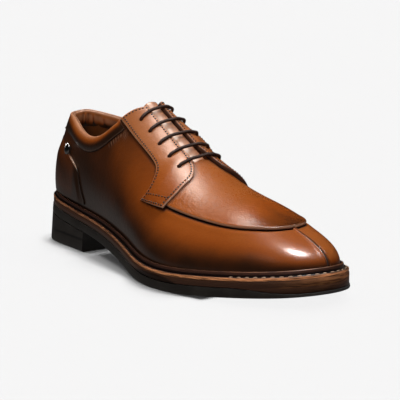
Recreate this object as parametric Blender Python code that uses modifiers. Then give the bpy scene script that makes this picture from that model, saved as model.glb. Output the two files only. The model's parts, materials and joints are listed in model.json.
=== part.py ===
"""Right split-toe derby shoe, standing empty on its sole.

Sizes are in millimetres from the back of the heel until place() turns them into metres.
+X runs to the toe, +Y to the wearer's left (the medial side of a right shoe), +Z up.
"""
import math

import bmesh
import bpy
import numpy as np
from mathutils import Vector

MM = 0.001
LATERAL = -1
MEDIAL = 1

# Driving dimensions
GAP = 0.3
FACET_GAP = 0.5
WALL = 2.0
OVERLAY = 1.5
SOLE_FLARE = 0.07
WELT_THICK = 2.2
MIDSOLE_THICK = 4.1
MIDSOLE_TOE_THICK = 8.4
MIDSOLE_SWELL = (258.0, 303.0)
MIDSOLE_INSET = 0.5
RIB_HEIGHT = 3.3
RIB_WIDTH = 1.9
HEEL_BREAST = 70.0
INSOLE_THICK = 2.6
THROAT_HALF = 5.0
THROAT_END = 0.562
TONGUE_TOP_X = 109.0
TONGUE_TOP_BOW = 3.0
TONGUE_END_X = 190.0
COLLAR_HEIGHT = 11.0
COLLAR_CREST = 1.8
LACE_RADIUS = 1.2
EYELET_RADIUS = 2.0
STUD_RADIUS = 4.2
STUD_THICK = 1.6

# Sole outline at the welt: x, reach to the lateral side, reach to the medial side
HEEL_BACK = (-1.2, 0.0)
TOE_TIP = (305.0, 7.0)
OUTLINE = (
    (2.5, 16.0, 12.5),
    (15.5, 26.6, 24.8),
    (42.0, 30.8, 32.0),
    (75.0, 34.2, 33.2),
    (110.0, 40.5, 31.8),
    (145.0, 48.5, 35.0),
    (175.0, 56.0, 41.0),
    (205.0, 57.5, 46.6),
    (235.0, 51.2, 48.2),
    (262.0, 42.4, 43.6),
    (284.0, 30.6, 36.2),
    (299.0, 15.5, 24.5),
)

# Side view of the sole: x, underside of the outsole, top of the welt
LEVELS = (
    (0.0, 24.0, 37.4),
    (60.0, 16.0, 29.2),
    (100.0, 12.7, 26.0),
    (140.0, 6.8, 20.2),
    (170.0, 1.5, 14.9),
    (188.0, 0.0, 13.3),
    (215.0, 0.0, 13.2),
    (235.0, 1.1, 14.4),
    (260.0, 3.5, 16.7),
    (285.0, 6.0, 19.3),
    (305.0, 8.3, 21.7),
)

# Welt margin: share of the side from heel to toe, distance from welt edge to upper
MARGINS = (
    (0.00, 4.4),
    (0.25, 4.5),
    (0.50, 5.0),
    (0.75, 5.6),
    (1.00, 5.7),
)

# Sections of the last, heel to toe: share along the side, top x, top z, outward lean in degrees,
# handle up the wall and handle over the crown as shares of the section, lateral then medial
SECTIONS = (
    (0.00, 25.0, 120.0, 11.0, 0.38, 0.50, 0.38, 0.50),
    (0.10, 35.0, 125.0, 10.0, 0.35, 0.46, 0.36, 0.50),
    (0.24, 64.0, 134.0, 11.0, 0.40, 0.55, 0.40, 0.55),
    (0.33, 92.0, 126.0, 10.0, 0.40, 0.55, 0.44, 0.58),
    (0.42, 117.0, 109.5, 10.0, 0.42, 0.50, 0.62, 0.70),
    (0.48, 138.1, 95.78, 10.07, 0.421, 0.491, 0.74, 0.91),
    (0.53, 157.0, 84.5, 10.0, 0.42, 0.50, 0.58, 0.78),
    (0.65, 196.0, 64.8, 9.0, 0.44, 0.55, 0.50, 0.70),
    (0.78, 228.0, 57.2, 6.0, 0.45, 0.62, 0.45, 0.63),
    (0.90, 246.0, 52.2, 4.5, 0.50, 0.66, 0.50, 0.66),
    (1.00, 256.0, 48.6, 4.5, 0.50, 0.66, 0.50, 0.66),
)
RIDGE_END_Y = 4.8

# Top line: share along the side, height on the lateral side, height on the medial side
TOP_LINE = (
    (0.000, 100.0, 100.0),
    (0.080, 99.4, 99.3),
    (0.140, 96.6, 97.0),
    (0.190, 91.0, 94.6),
    (0.250, 87.4, 92.4),
    (0.300, 91.2, 94.6),
    (0.345, 101.4, 101.6),
    (0.370, 107.4, 107.6),
    (0.400, 112.2, 112.4),
    (0.430, 116.0, 116.0),
)

# Edge of the apron: share along the side, share up the wall
APRON_EDGE = (
    (0.560, 0.475),
    (0.600, 0.503),
    (0.650, 0.528),
    (0.700, 0.538),
    (0.750, 0.541),
    (0.790, 0.557),
    (0.830, 0.600),
    (0.870, 0.662),
    (0.910, 0.742),
    (0.955, 0.823),
    (1.000, 0.868),
)

# Eyestay from its top to the foot of its tab: back edge along, up, front edge along, up
EYESTAY = (
    (0.352, 0.640, 0.404, 0.912),
    (0.399, 0.637, 0.448, 0.917),
    (0.442, 0.641, 0.498, 0.917),
    (0.480, 0.648, 0.545, 0.906),
    (0.504, 0.640, 0.579, 0.868),
    (0.513, 0.614, 0.595, 0.806),
    (0.519, 0.558, 0.597, 0.705),
    (0.520, 0.492, 0.596, 0.612),
    (0.516, 0.430, 0.592, 0.535),
    (0.507, 0.380, 0.587, 0.462),
)
MEDIAL_UP = 1.026

# Top of the counter from the back seam to its front foot: share along the side, share up the wall
COUNTER_FOOT = 0.050
COUNTER_TOP = (
    (0.000, 0.440),
    (0.040, 0.434),
    (0.075, 0.418),
    (0.110, 0.386),
    (0.135, 0.350),
    (0.155, 0.316),
    (0.174, 0.290),
    (0.191, 0.264),
    (0.204, 0.236),
    (0.213, 0.203),
    (0.220, 0.160),
    (0.228, 0.112),
    (0.236, 0.072),
)

# Collar roll around the top edge of the upper: distance up from that edge, distance out of the wall
COLLAR_ROLL = (
    (-11.0, 0.45),
    (-11.0, 0.95),
    (-8.0, 1.45),
    (-4.0, 1.60),
    (-0.5, 1.35),
    (1.3, 0.50),
    (1.8, -1.20),
    (1.2, -3.20),
    (-0.8, -4.60),
    (-4.5, -5.20),
    (-8.5, -4.40),
    (-11.0, -3.10),
    (-11.0, -2.50),
    (0.50, -2.50),
    (0.50, 0.45),
)
COLLAR_END = 0.347
COLLAR_SLANT = 0.028
COLLAR_STATIONS = np.linspace(0.0, COLLAR_END, 18)

# Lace bars, top to bottom: share along the side of each pair of eyelets
EYELETS = (0.411, 0.447, 0.483, 0.519, 0.555)
EYELET_UP = 0.775
STUD_AT = (0.152, 0.341)


def spline(knots, values, ends="natural"):
    """Cubic spline through the values, with natural ends, level ends or one closed loop."""
    knots = np.asarray(knots, float)
    values = np.asarray(values, float)
    count = len(knots)
    wide = (-1,) + (1,) * (values.ndim - 1)
    step = np.diff(knots)
    rate = np.diff(values, axis=0) / step.reshape(wide)
    system = np.zeros((count, count))
    right = np.zeros_like(values)
    for i in range(1, count - 1):
        system[i, i - 1:i + 2] = step[i - 1], 2 * (step[i - 1] + step[i]), step[i]
        right[i] = 6 * (rate[i] - rate[i - 1])
    if ends == "closed":
        system[0, 0] = 1
        system[0, -1] = -1
        system[-1, :2] = 2 * step[0], step[0]
        system[-1, -2:] += step[-1], 2 * step[-1]
        right[-1] = 6 * (rate[0] - rate[-1])
    elif ends == "level":
        system[0, :2] = 2 * step[0], step[0]
        system[-1, -2:] = step[-1], 2 * step[-1]
        right[0] = 6 * rate[0]
        right[-1] = -6 * rate[-1]
    else:
        system[0, 0] = 1
        system[-1, -1] = 1
    bend = np.linalg.solve(system, right)

    def at(where):
        where = np.asarray(where, float)
        i = np.clip(np.searchsorted(knots, where, side="right") - 1, 0, count - 2)
        shape = where.shape + (1,) * (values.ndim - 1)
        after = (where - knots[i]).reshape(shape)
        before = (knots[i + 1] - where).reshape(shape)
        length = step[i].reshape(shape)
        curved = (bend[i] * before ** 3 + bend[i + 1] * after ** 3) / (6 * length)
        first = (values[i] / length - bend[i] * length / 6) * before
        last = (values[i + 1] / length - bend[i + 1] * length / 6) * after
        return curved + first + last

    return at


def table_splines(rows, ends="natural"):
    table = np.array(rows)
    return [spline(table[:, 0], table[:, k], ends) for k in range(1, table.shape[1])]


def split_outline():
    """Each side of the outline by its share of length from heel to toe: shares, points, outward normals."""
    rows = np.array(OUTLINE)
    lateral = np.column_stack([rows[:, 0], -rows[:, 1]])
    medial = np.column_stack([rows[:, 0], rows[:, 2]])
    points = np.concatenate([[HEEL_BACK], lateral, [TOE_TIP], medial[::-1], [HEEL_BACK]])
    chords = np.linalg.norm(np.diff(points, axis=0), axis=1)
    knots = np.concatenate([[0.0], np.cumsum(np.sqrt(chords))])
    curve = spline(knots, points, "closed")
    toe = knots[len(rows) + 1]
    halves = {}
    for side, start in ((LATERAL, knots[0]), (MEDIAL, knots[-1])):
        where = np.linspace(start, toe, 1201)
        line = curve(where)
        run = np.concatenate([[0.0], np.cumsum(np.linalg.norm(np.diff(line, axis=0), axis=1))])
        tangent = curve((where + 1e-4) % knots[-1]) - curve((where - 1e-4) % knots[-1])
        tangent /= np.linalg.norm(tangent, axis=1)[:, None]
        normal = np.column_stack([tangent[:, 1], -tangent[:, 0]])
        halves[side] = (run / run[-1], line, normal)
    return halves


HALVES = split_outline()
underside_curve, welt_top = table_splines(LEVELS)
(margin,) = table_splines(MARGINS, "level")
ridge_x, ridge_z, lean, *handles = table_splines(SECTIONS, "level")
top_lateral, top_medial = table_splines(TOP_LINE)
(apron_edge,) = table_splines(APRON_EDGE)
(counter_top,) = table_splines(COUNTER_TOP)


def underside(x):
    """Underside of the outsole, with a true flat under the ball."""
    return np.maximum(underside_curve(x), 0.0)


def outline(side, along, outward=0.0):
    """Plan point of the sole's edge on one side, moved outward."""
    shares, line, normals = HALVES[side]
    point = np.stack([np.interp(along, shares, line[:, k]) for k in (0, 1)], -1)
    normal = np.stack([np.interp(along, shares, normals[:, k]) for k in (0, 1)], -1)
    normal /= np.linalg.norm(normal, axis=-1)[..., None]
    return point + normal * np.asarray(outward)[..., None], normal


def centre_y(x):
    return RIDGE_END_Y * np.clip(x / SECTIONS[-1][1], 0.0, 1.0) ** 2


def wall(side, along, up):
    """Outer surface of the upper: up is 0 at the welt and 1 at the top of the last."""
    along, up = np.broadcast_arrays(np.asarray(along, float), np.asarray(up, float))
    edge, _ = outline(side, along)
    foot, normal = outline(side, along, -margin(along))
    base = np.concatenate([foot, welt_top(edge[..., 0])[..., None]], -1)
    x = ridge_x(along)
    z = ridge_z(along)
    ridge = np.stack([x, centre_y(x), z], -1)
    rise, crown = handles[:2] if side == LATERAL else handles[2:]
    tilt = np.radians(lean(along))[..., None]
    height = ((z - base[..., 2]) * rise(along))[..., None]
    low = base + height * np.concatenate([normal * np.sin(tilt), np.cos(tilt)], -1)
    before = np.clip(along - 0.001, 0.0, 1.0)
    after = np.clip(along + 0.001, 0.0, 1.0)
    slope = (ridge_z(after) - ridge_z(before)) / (ridge_x(after) - ridge_x(before))
    reach = base[..., :2] - ridge[..., :2]
    over = np.concatenate([reach, (slope * reach[..., 0])[..., None]], -1)
    high = ridge + crown(along)[..., None] * over
    t = up[..., None]
    r = 1 - t
    return base * r ** 3 + 3 * low * t * r ** 2 + 3 * high * t ** 2 * r + ridge * t ** 3


def wall_past_seam(side, along, up):
    """The wall, carried on over the back seam and the toe seam to the other side."""
    beyond = (along < 0.0) | (along > 1.0)
    folded = np.where(along > 1.0, 2.0 - along, np.abs(along))
    return np.where(beyond[..., None], wall(-side, folded, up), wall(side, folded, up))


def wall_normal(side, along, up):
    along, up = np.broadcast_arrays(np.asarray(along, float), np.asarray(up, float))
    below = np.clip(up - 0.002, 0.0, 1.0)
    above = np.clip(up + 0.002, 0.0, 1.0)
    near = np.minimum(up, 0.99)
    run = wall_past_seam(side, along + 0.002, near) - wall_past_seam(side, along - 0.002, near)
    climb = wall(side, along, above) - wall(side, along, below)
    normal = -side * np.cross(run, climb)
    return normal / np.linalg.norm(normal, axis=-1)[..., None]


def skin(side, along, up, out):
    """Point at a distance out of the upper's outer surface."""
    return wall(side, along, up) + np.asarray(out)[..., None] * wall_normal(side, along, up)


def both_sides(across, evaluate):
    """Evaluates the lateral half where across is negative and the medial half where it is not."""
    lateral = evaluate(LATERAL)
    medial = evaluate(MEDIAL)
    return np.where((across < 0)[..., None], lateral, medial)


def up_where(side, along, reached):
    """Share up the wall at which reached() turns true, found by halving."""
    low = np.zeros_like(along)
    high = np.ones_like(along)
    for _ in range(40):
        middle = (low + high) / 2
        over = reached(wall(side, along, middle))
        high = np.where(over, middle, high)
        low = np.where(over, low, middle)
    return (low + high) / 2


def along_where(side, up, x):
    """Share along the side at which the wall reaches x at the given share up, found by halving."""
    low = np.full_like(up, 0.3)
    high = np.full_like(up, 0.75)
    for _ in range(40):
        middle = (low + high) / 2
        over = wall(side, middle, up)[..., 0] > x
        high = np.where(over, middle, high)
        low = np.where(over, low, middle)
    return (low + high) / 2


def upper_edge(side, along):
    """Top edge of the upper: the top line, the throat edge, or the ridge in front of the throat."""
    along = np.asarray(along, float)
    line = (top_lateral if side == LATERAL else top_medial)(np.minimum(along, 0.43))
    below_crest = np.where(along < 0.345, COLLAR_CREST, 0.6)
    by_height = up_where(side, along, lambda p: p[..., 2] > line - below_crest)
    half = THROAT_HALF + 0.6
    by_throat = up_where(side, along, lambda p: np.abs(p[..., 1] - centre_y(p[..., 0])) < half)
    by_throat = np.where(along < 0.36, 1.0, by_throat)
    by_height = np.where(along < 0.43, by_height, 1.0)
    return np.where(along > THROAT_END + 0.001, 1.0, np.minimum(by_height, by_throat))


def frame_shift():
    """Middle of the sole's plan, so that the origin is under the middle of the shoe."""
    points = []
    for side in (LATERAL, MEDIAL):
        along = np.linspace(0.0, 1.0, 400)
        edge, _ = outline(side, along)
        drop = welt_top(edge[:, 0]) - np.where(edge[:, 0] < HEEL_BREAST, 0.0, underside(edge[:, 0]))
        points.append(outline(side, along, SOLE_FLARE * drop)[0])
    points = np.concatenate(points)
    return (points.min(axis=0) + points.max(axis=0)) / 2


SHIFT = frame_shift()


def place(points):
    """Millimetres from the heel to metres about the middle of the shoe."""
    points = np.array(points, float)
    points[..., :2] -= SHIFT
    return points * MM


def clear_scene():
    for obj in list(bpy.data.objects):
        bpy.data.objects.remove(obj, do_unlink=True)


def collection(name):
    made = bpy.data.collections.new(name)
    bpy.context.scene.collection.children.link(made)
    return made


def material(name, colour, roughness, metallic=0.0):
    made = bpy.data.materials.new(name)
    made.use_nodes = True
    shader = made.node_tree.nodes["Principled BSDF"]
    shader.inputs["Base Color"].default_value = (*colour, 1.0)
    shader.inputs["Roughness"].default_value = roughness
    shader.inputs["Metallic"].default_value = metallic
    made.diffuse_color = (*colour, 1.0)
    return made


def add_object(name, bm, surface, into):
    bmesh.ops.remove_doubles(bm, verts=bm.verts[:], dist=1e-6)
    bmesh.ops.dissolve_degenerate(bm, dist=1e-7, edges=bm.edges[:])
    bmesh.ops.recalc_face_normals(bm, faces=bm.faces[:])
    if all(edge.is_manifold for edge in bm.edges) and bm.calc_volume(signed=True) < 0:
        bmesh.ops.reverse_faces(bm, faces=bm.faces[:])
    mesh = bpy.data.meshes.new(name)
    bm.to_mesh(mesh)
    bm.free()
    mesh.materials.append(surface)
    obj = bpy.data.objects.new(name, mesh)
    into.objects.link(obj)
    return obj


def unit_grid(columns, rows):
    """Grid mesh over the unit square."""
    bm = bmesh.new()
    bmesh.ops.create_grid(bm, x_segments=columns, y_segments=rows, size=0.5)
    bmesh.ops.translate(bm, verts=bm.verts[:], vec=(0.5, 0.5, 0.0))
    return bm


def put(verts, points):
    for vert, point in zip(verts, place(points)):
        vert.co = point


def sheet(name, columns, rows, shape, thickness, surface, into):
    """Open surface shaped over the unit square, thickened by Solidify; a minus thickness goes inward."""
    bm = unit_grid(columns, rows)
    verts = bm.verts[:]
    u = np.array([v.co.x for v in verts])
    v = np.array([v.co.y for v in verts])
    put(verts, shape(u, v))
    obj = add_object(name, bm, surface, into)
    centre = np.mean([f.center for f in obj.data.polygons], axis=0)
    facing = sum((np.array(f.center) - centre) @ np.array(f.normal) * f.area for f in obj.data.polygons)
    if facing < 0:
        obj.data.flip_normals()
    solid = obj.modifiers.new("Thickness", "SOLIDIFY")
    solid.thickness = abs(thickness) * MM
    solid.offset = 1.0 if thickness > 0 else -1.0
    solid.use_even_offset = True
    solid.use_quality_normals = True
    return obj


def slab(name, columns, rows, front, back, surface, into):
    """Closed slab between two surfaces over the unit square."""
    bm = unit_grid(columns, rows)
    grown = bmesh.ops.extrude_face_region(bm, geom=bm.faces[:])
    moved = [item for item in grown["geom"] if isinstance(item, bmesh.types.BMVert)]
    kept = [vert for vert in bm.verts if vert not in set(moved)]
    for verts, shape in ((kept, front), (moved, back)):
        u = np.array([v.co.x for v in verts])
        v = np.array([v.co.y for v in verts])
        put(verts, shape(u, v))
    return add_object(name, bm, surface, into)


def sweep(name, columns, rows, shape, surface, into):
    """Profile carried along a path over the unit square; v closes on itself and open ends are filled."""
    bm = unit_grid(columns, rows)
    verts = bm.verts[:]
    u = np.array([v.co.x for v in verts])
    v = np.array([v.co.y for v in verts])
    put(verts, shape(u, v))
    bmesh.ops.remove_doubles(bm, verts=bm.verts[:], dist=1e-6)
    rim = [edge for edge in bm.edges if edge.is_boundary]
    if rim:
        bmesh.ops.holes_fill(bm, edges=rim, sides=0)
    return add_object(name, bm, surface, into)


def spread(count, crowd):
    """Shares from 0 to 1 in equal steps, eased toward both ends by crowd."""
    t = np.linspace(0.0, 1.0, count + 1)
    return t - crowd * np.sin(2 * math.pi * t) / (2 * math.pi)


def remap(u, stations):
    """Grid coordinate to the matching value of a list of stations."""
    return np.interp(u, np.linspace(0.0, 1.0, len(stations)), stations)


def plan(along, across, outward):
    """Plan point between the two edges of the sole; across is 0 on the lateral side."""
    edges = []
    for side in (LATERAL, MEDIAL):
        line, _ = outline(side, along)
        grow = outward(line[..., 0])
        edges.append(outline(side, along, grow)[0])
    return edges[0] + (edges[1] - edges[0]) * across[..., None]


def sole_face(stations, height, outward):
    def shape(u, v):
        flat = plan(remap(u, stations), v, outward)
        return np.concatenate([flat, height(flat[..., 0])[..., None]], -1)
    return shape


def breast_share():
    shares, line, _ = HALVES[LATERAL]
    return float(np.interp(HEEL_BREAST, line[:, 0], shares))


def midsole_thick(x):
    """Thickness of the midsole, which swells round the toe."""
    start, end = MIDSOLE_SWELL
    share = np.clip((x - start) / (end - start), 0.0, 1.0)
    return MIDSOLE_THICK + (MIDSOLE_TOE_THICK - MIDSOLE_THICK) * share ** 2 * (3 - 2 * share)


def build_sole(parts, rubber, leather_edge, board):
    stations = spread(34, 0.55)
    midsole_top = lambda x: welt_top(x) - WELT_THICK - GAP
    midsole_low = lambda x: midsole_top(x) - midsole_thick(x)
    outsole_top = lambda x: midsole_low(x) - GAP
    flare = lambda level: (lambda x: SOLE_FLARE * (welt_top(x) - level(x)))
    recessed = lambda x: flare(midsole_low)(x) - MIDSOLE_INSET
    slab("outsole", 34, 6, sole_face(stations, outsole_top, flare(outsole_top)),
         sole_face(stations, underside, flare(underside)), rubber, parts)
    slab("midsole", 34, 5, sole_face(stations, midsole_top, recessed),
         sole_face(stations, midsole_low, recessed), leather_edge, parts)
    heel_stations = breast_share() * np.linspace(0.0, 1.0, 13) ** 1.3
    heel_top = lambda x: underside(x) - GAP
    floor = lambda x: np.zeros_like(x)
    heel = slab("heel", 12, 6, sole_face(heel_stations, heel_top, flare(heel_top)),
                sole_face(heel_stations, floor, flare(floor)), rubber, parts)
    soften = heel.modifiers.new("Soft edges", "BEVEL")
    soften.width = 0.9 * MM
    soften.segments = 1
    soften.limit_method = "ANGLE"
    soften.angle_limit = math.radians(50)
    inner = lambda x: np.full_like(x, -(margin(0.5) + WALL + 1.6))
    insole_top = lambda x: midsole_top(x) + GAP + INSOLE_THICK
    insole_low = lambda x: midsole_top(x) + GAP
    slab("insole", 28, 4, sole_face(spread(28, 0.55), insole_top, inner),
         sole_face(spread(28, 0.55), insole_low, inner), board, parts)


def build_welt(parts, leather):
    """Storm welt: a flat strip round the shoe with a rib standing against the upper."""
    def shape(u, v):
        turn = np.where(u < 0.5, 2 * u, 2 - 2 * u)
        along = turn - 0.55 * np.sin(2 * math.pi * turn) / (2 * math.pi)
        width = margin(along) - GAP
        rib = RIB_WIDTH / width
        inside = np.zeros_like(width)
        outside = np.ones_like(width)
        # profile round the strip: share of the width out from the upper, height from the underside
        corners_out = [inside, outside, outside, rib + 0.12, rib, 0.5 * rib, inside, inside]
        rib_heights = RIB_HEIGHT * np.array([0.7, 1.0, 0.85])
        corners_up = [0.0, 0.0, WELT_THICK, WELT_THICK, *(WELT_THICK + rib_heights), 0.0]
        index = np.rint(v * (len(corners_up) - 1)).astype(int)
        out = np.choose(index, corners_out)
        up = np.choose(index, corners_up)
        points = []
        for side in (LATERAL, MEDIAL):
            edge, _ = outline(side, along)
            climb = up - WELT_THICK
            lean_out = np.maximum(climb, 0.0) * np.tan(np.radians(lean(along)))
            flat, _ = outline(side, along, -margin(along) + GAP + out * width + lean_out)
            points.append(np.concatenate([flat, (welt_top(edge[..., 0]) + climb)[..., None]], -1))
        return np.where((u < 0.5)[..., None], points[0], points[1])
    sweep("welt", 76, 7, shape, leather, parts)


def build_upper(parts, leather):
    """One hollow shell, open below, along the throat and at the collar."""
    heel_to_throat = np.concatenate([COLLAR_STATIONS, [0.355, 0.375, 0.394]])
    throat = np.linspace(0.412, THROAT_END, 6)
    vamp = np.concatenate([[THROAT_END + 0.005], np.linspace(0.60, 1.0, 15)])
    half = np.concatenate([heel_to_throat, throat, vamp])
    stations = np.concatenate([half, half[-2::-1]])
    count = len(stations) - 1
    rows = 11

    def shape(u, v):
        index = np.rint(u * count).astype(int)
        along = stations[index]
        lateral = index < len(half)
        below = v < 0.5 / rows
        share = np.clip((v * rows - 1) / (rows - 1), 0.0, 1.0)
        points = []
        for side in (LATERAL, MEDIAL):
            point = wall(side, along, share * upper_edge(side, along))
            point[..., 2] -= np.where(below, WELT_THICK - 0.2, 0.0)
            points.append(point)
        return np.where(lateral[..., None], points[0], points[1])

    return sheet("upper", count, rows, shape, -WALL, leather, parts)


def build_apron(parts, leather):
    stations = np.concatenate([np.linspace(0.566, 0.80, 8), np.linspace(0.83, 1.0, 8)])

    def shape(u, v):
        along = remap(u, stations)
        across = 2 * v - 1
        up = 1 - np.abs(across) * (1 - apron_edge(along))
        return both_sides(across, lambda side: skin(side, along, up, GAP))

    sheet("apron", len(stations) - 1, 12, shape, OVERLAY, leather, parts)


def build_toe_seam(parts, leather):
    """Raised seam down the middle of the toe, below the apron."""
    def ridge(u, v, out):
        up = 0.1 + (0.845 - 0.1) * u
        across = 2 * v - 1
        along = 1 - np.abs(across) * 0.0046
        return both_sides(across, lambda side: skin(side, along, up, out(across)))

    crest = lambda across: 1.35 - 0.55 * across ** 2
    level = lambda across: np.full_like(across, GAP)
    slab("toe_seam", 14, 4, lambda u, v: ridge(u, v, crest), lambda u, v: ridge(u, v, level),
         leather, parts)


def eyestay_lift(along):
    """Clearance under the eyestay, which climbs onto the apron toward the toe."""
    climb = np.clip((along - 0.512) / 0.04, 0.0, 1.0)
    return GAP + (OVERLAY + GAP) * climb ** 2 * (3 - 2 * climb)


def build_eyestays(parts, leather):
    rows = np.array(EYESTAY)
    chords = np.linalg.norm(np.diff(rows[:, 2:] * (350.0, 110.0), axis=0), axis=1)
    knots = np.concatenate([[0.0], np.cumsum(chords)])
    edges = spline(knots / knots[-1], rows)
    for side, name, scale in ((LATERAL, "eyestay_lateral", 1.0), (MEDIAL, "eyestay_medial", MEDIAL_UP)):
        def shape(u, v, side=side, scale=scale):
            row = edges(u)
            along = row[..., 0] + (row[..., 2] - row[..., 0]) * v
            up = scale * (row[..., 1] + (row[..., 3] - row[..., 1]) * v)
            return skin(side, along, up, eyestay_lift(along))
        sheet(name, 18, 5, shape, OVERLAY, leather, parts)


def build_counter(parts, leather):
    half = np.concatenate([np.linspace(0.0, 0.14, 8), [0.158, 0.175, 0.19, 0.203, 0.213, 0.220, 0.228, 0.236]])

    def shape(u, v):
        across = 2 * u - 1
        along = remap(np.abs(across), half)
        up = COUNTER_FOOT + (counter_top(along) - COUNTER_FOOT) * v
        return both_sides(across, lambda side: skin(side, along, up, FACET_GAP))

    sheet("counter", 2 * len(half) - 2, 7, shape, OVERLAY, leather, parts)


def build_collar(parts, leather):
    """Padded roll folded over the top edge of the upper, ending at the eyestays."""
    profile = np.array(COLLAR_ROLL + COLLAR_ROLL[:1])

    def shape(u, v):
        index = np.rint(v * (len(profile) - 1)).astype(int)
        rise = profile[index, 0]
        out = profile[index, 1]
        across = 2 * u - 1
        station = remap(np.abs(across), COLLAR_STATIONS)

        def one(side):
            down = -np.minimum(rise, 0.0) / COLLAR_HEIGHT
            turn = np.abs(across) ** 7
            along = station + COLLAR_SLANT * turn * down
            edge = upper_edge(side, station)
            root = wall(side, along, edge)
            climb = wall(side, along, edge + 0.01) - root
            climb /= np.linalg.norm(climb, axis=-1)[..., None]
            speed = np.linalg.norm(wall(side, along, edge) - wall(side, along, edge - 0.05), axis=-1) / 0.05
            up = edge - (1 - 0.88 * turn) * COLLAR_HEIGHT * down / speed
            return skin(side, along, up, out) + np.maximum(rise, 0.0)[..., None] * climb

        return both_sides(across, one)

    sweep("collar", 2 * len(COLLAR_STATIONS) - 2, len(profile) - 1, shape, leather, parts)


def build_tongue(parts, leather):
    """Tongue under the throat, its rounded top standing above the eyestays."""
    def shape(u, v):
        across = np.sign(v - 0.5) * np.abs(2 * v - 1) ** 1.25
        start = TONGUE_TOP_X + TONGUE_TOP_BOW * across ** 2
        x = start + (TONGUE_END_X - start) * u
        half = 23.0 - 4.0 * u
        points = []
        for side in (LATERAL, MEDIAL):
            middle = along_where(side, np.full_like(x, 0.9), x)
            reach = up_where(side, middle, lambda p: np.abs(p[..., 1] - centre_y(p[..., 0])) < half)
            up = 1 - np.abs(across) * (1 - reach)
            along = along_where(side, up, x)
            points.append(skin(side, along, up, np.full_like(up, -WALL - 0.8)))
        return np.where((across < 0)[..., None], points[0], points[1])

    sheet("tongue", 10, 12, shape, -1.8, leather, parts)


def eyelet_line(side, along):
    up = EYELET_UP * (1.0 if side == LATERAL else MEDIAL_UP)
    return np.full_like(along, up)


def build_eyelets(parts, helpers, surface):
    """Holes through each eyestay and the upper behind it."""
    along = np.array(EYELETS)
    cutters = {}
    for side, name in ((LATERAL, "cutter_eyelets_lateral"), (MEDIAL, "cutter_eyelets_medial")):
        up = eyelet_line(side, along)
        starts = place(skin(side, along, up, np.full_like(along, -4.5)))
        ends = place(skin(side, along, up, np.full_like(along, 7.0)))
        bm = bmesh.new()
        for start, end in zip(starts, ends):
            reach = Vector(end - start)
            made = bmesh.ops.create_cone(bm, cap_ends=True, segments=8, radius1=EYELET_RADIUS * MM,
                                         radius2=EYELET_RADIUS * MM, depth=reach.length)
            aim = reach.to_track_quat("Z", "Y").to_matrix().to_4x4()
            aim.translation = Vector((start + end) / 2)
            bmesh.ops.transform(bm, matrix=aim, verts=made["verts"])
        cutters[side] = add_object(name, bm, surface, helpers)
        cutters[side].hide_render = True
        cutters[side].display_type = "WIRE"
    holed = (("eyestay_lateral", LATERAL), ("eyestay_medial", MEDIAL), ("upper", LATERAL), ("upper", MEDIAL))
    for name, side in holed:
        cut = parts.objects[name].modifiers.new("Eyelets", "BOOLEAN")
        cut.operation = "DIFFERENCE"
        cut.solver = "EXACT"
        cut.object = cutters[side]


def build_laces(parts, lace):
    """Straight bars from eyelet to eyelet, their ends turned down into the holes."""
    for number, along in enumerate(EYELETS, 1):
        lie = eyestay_lift(along + 0.005) + OVERLAY + GAP + LACE_RADIUS
        points = []
        holes = {side: float(eyelet_line(side, np.array([along]))[0]) for side in (LATERAL, MEDIAL)}
        ends = {side: wall(side, along, holes[side])[0] for side in holes}
        middle = (ends[LATERAL] + ends[MEDIAL]) / 2
        for side, hole in holes.items():
            share = np.array([0.0, 0.0, 0.09, 0.25, 0.5, 0.8])
            ups = hole + (1 - hole) * share
            straight = along_where(side, ups, ends[side] + (middle - ends[side]) * share)
            outs = np.array([-1.0, lie - 1.0, lie + 0.1, lie + 0.1, lie, lie])
            half = skin(side, straight, ups, outs)
            points.append(half if side == LATERAL else half[::-1])
        path = place(np.concatenate(points))
        curve = bpy.data.curves.new(f"lace_bar_{number}", "CURVE")
        curve.dimensions = "3D"
        curve.bevel_depth = LACE_RADIUS * MM
        curve.bevel_resolution = 1
        curve.use_fill_caps = True
        line = curve.splines.new("POLY")
        line.points.add(len(path) - 1)
        for point, where in zip(line.points, path):
            point.co = (*where, 1.0)
        curve.materials.append(lace)
        parts.objects.link(bpy.data.objects.new(curve.name, curve))


def build_stud(parts, metal):
    """Plain round stud at the top of the counter."""
    along = np.array([STUD_AT[0]])
    up = np.array([STUD_AT[1]])
    base = skin(LATERAL, along, up, np.array([OVERLAY + 2 * GAP]))[0]
    normal = wall_normal(LATERAL, along, up)[0]
    bm = bmesh.new()
    bmesh.ops.create_cone(bm, cap_ends=True, segments=16, radius1=STUD_RADIUS * MM,
                          radius2=STUD_RADIUS * MM, depth=STUD_THICK * MM)
    aim = Vector(normal).to_track_quat("Z", "Y").to_matrix().to_4x4()
    aim.translation = Vector(place(base + 0.5 * STUD_THICK * normal))
    bmesh.ops.transform(bm, matrix=aim, verts=bm.verts[:])
    stud = add_object("stud", bm, metal, parts)
    soften = stud.modifiers.new("Rounded rim", "BEVEL")
    soften.width = 0.5 * MM
    soften.segments = 1
    soften.limit_method = "ANGLE"


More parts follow.
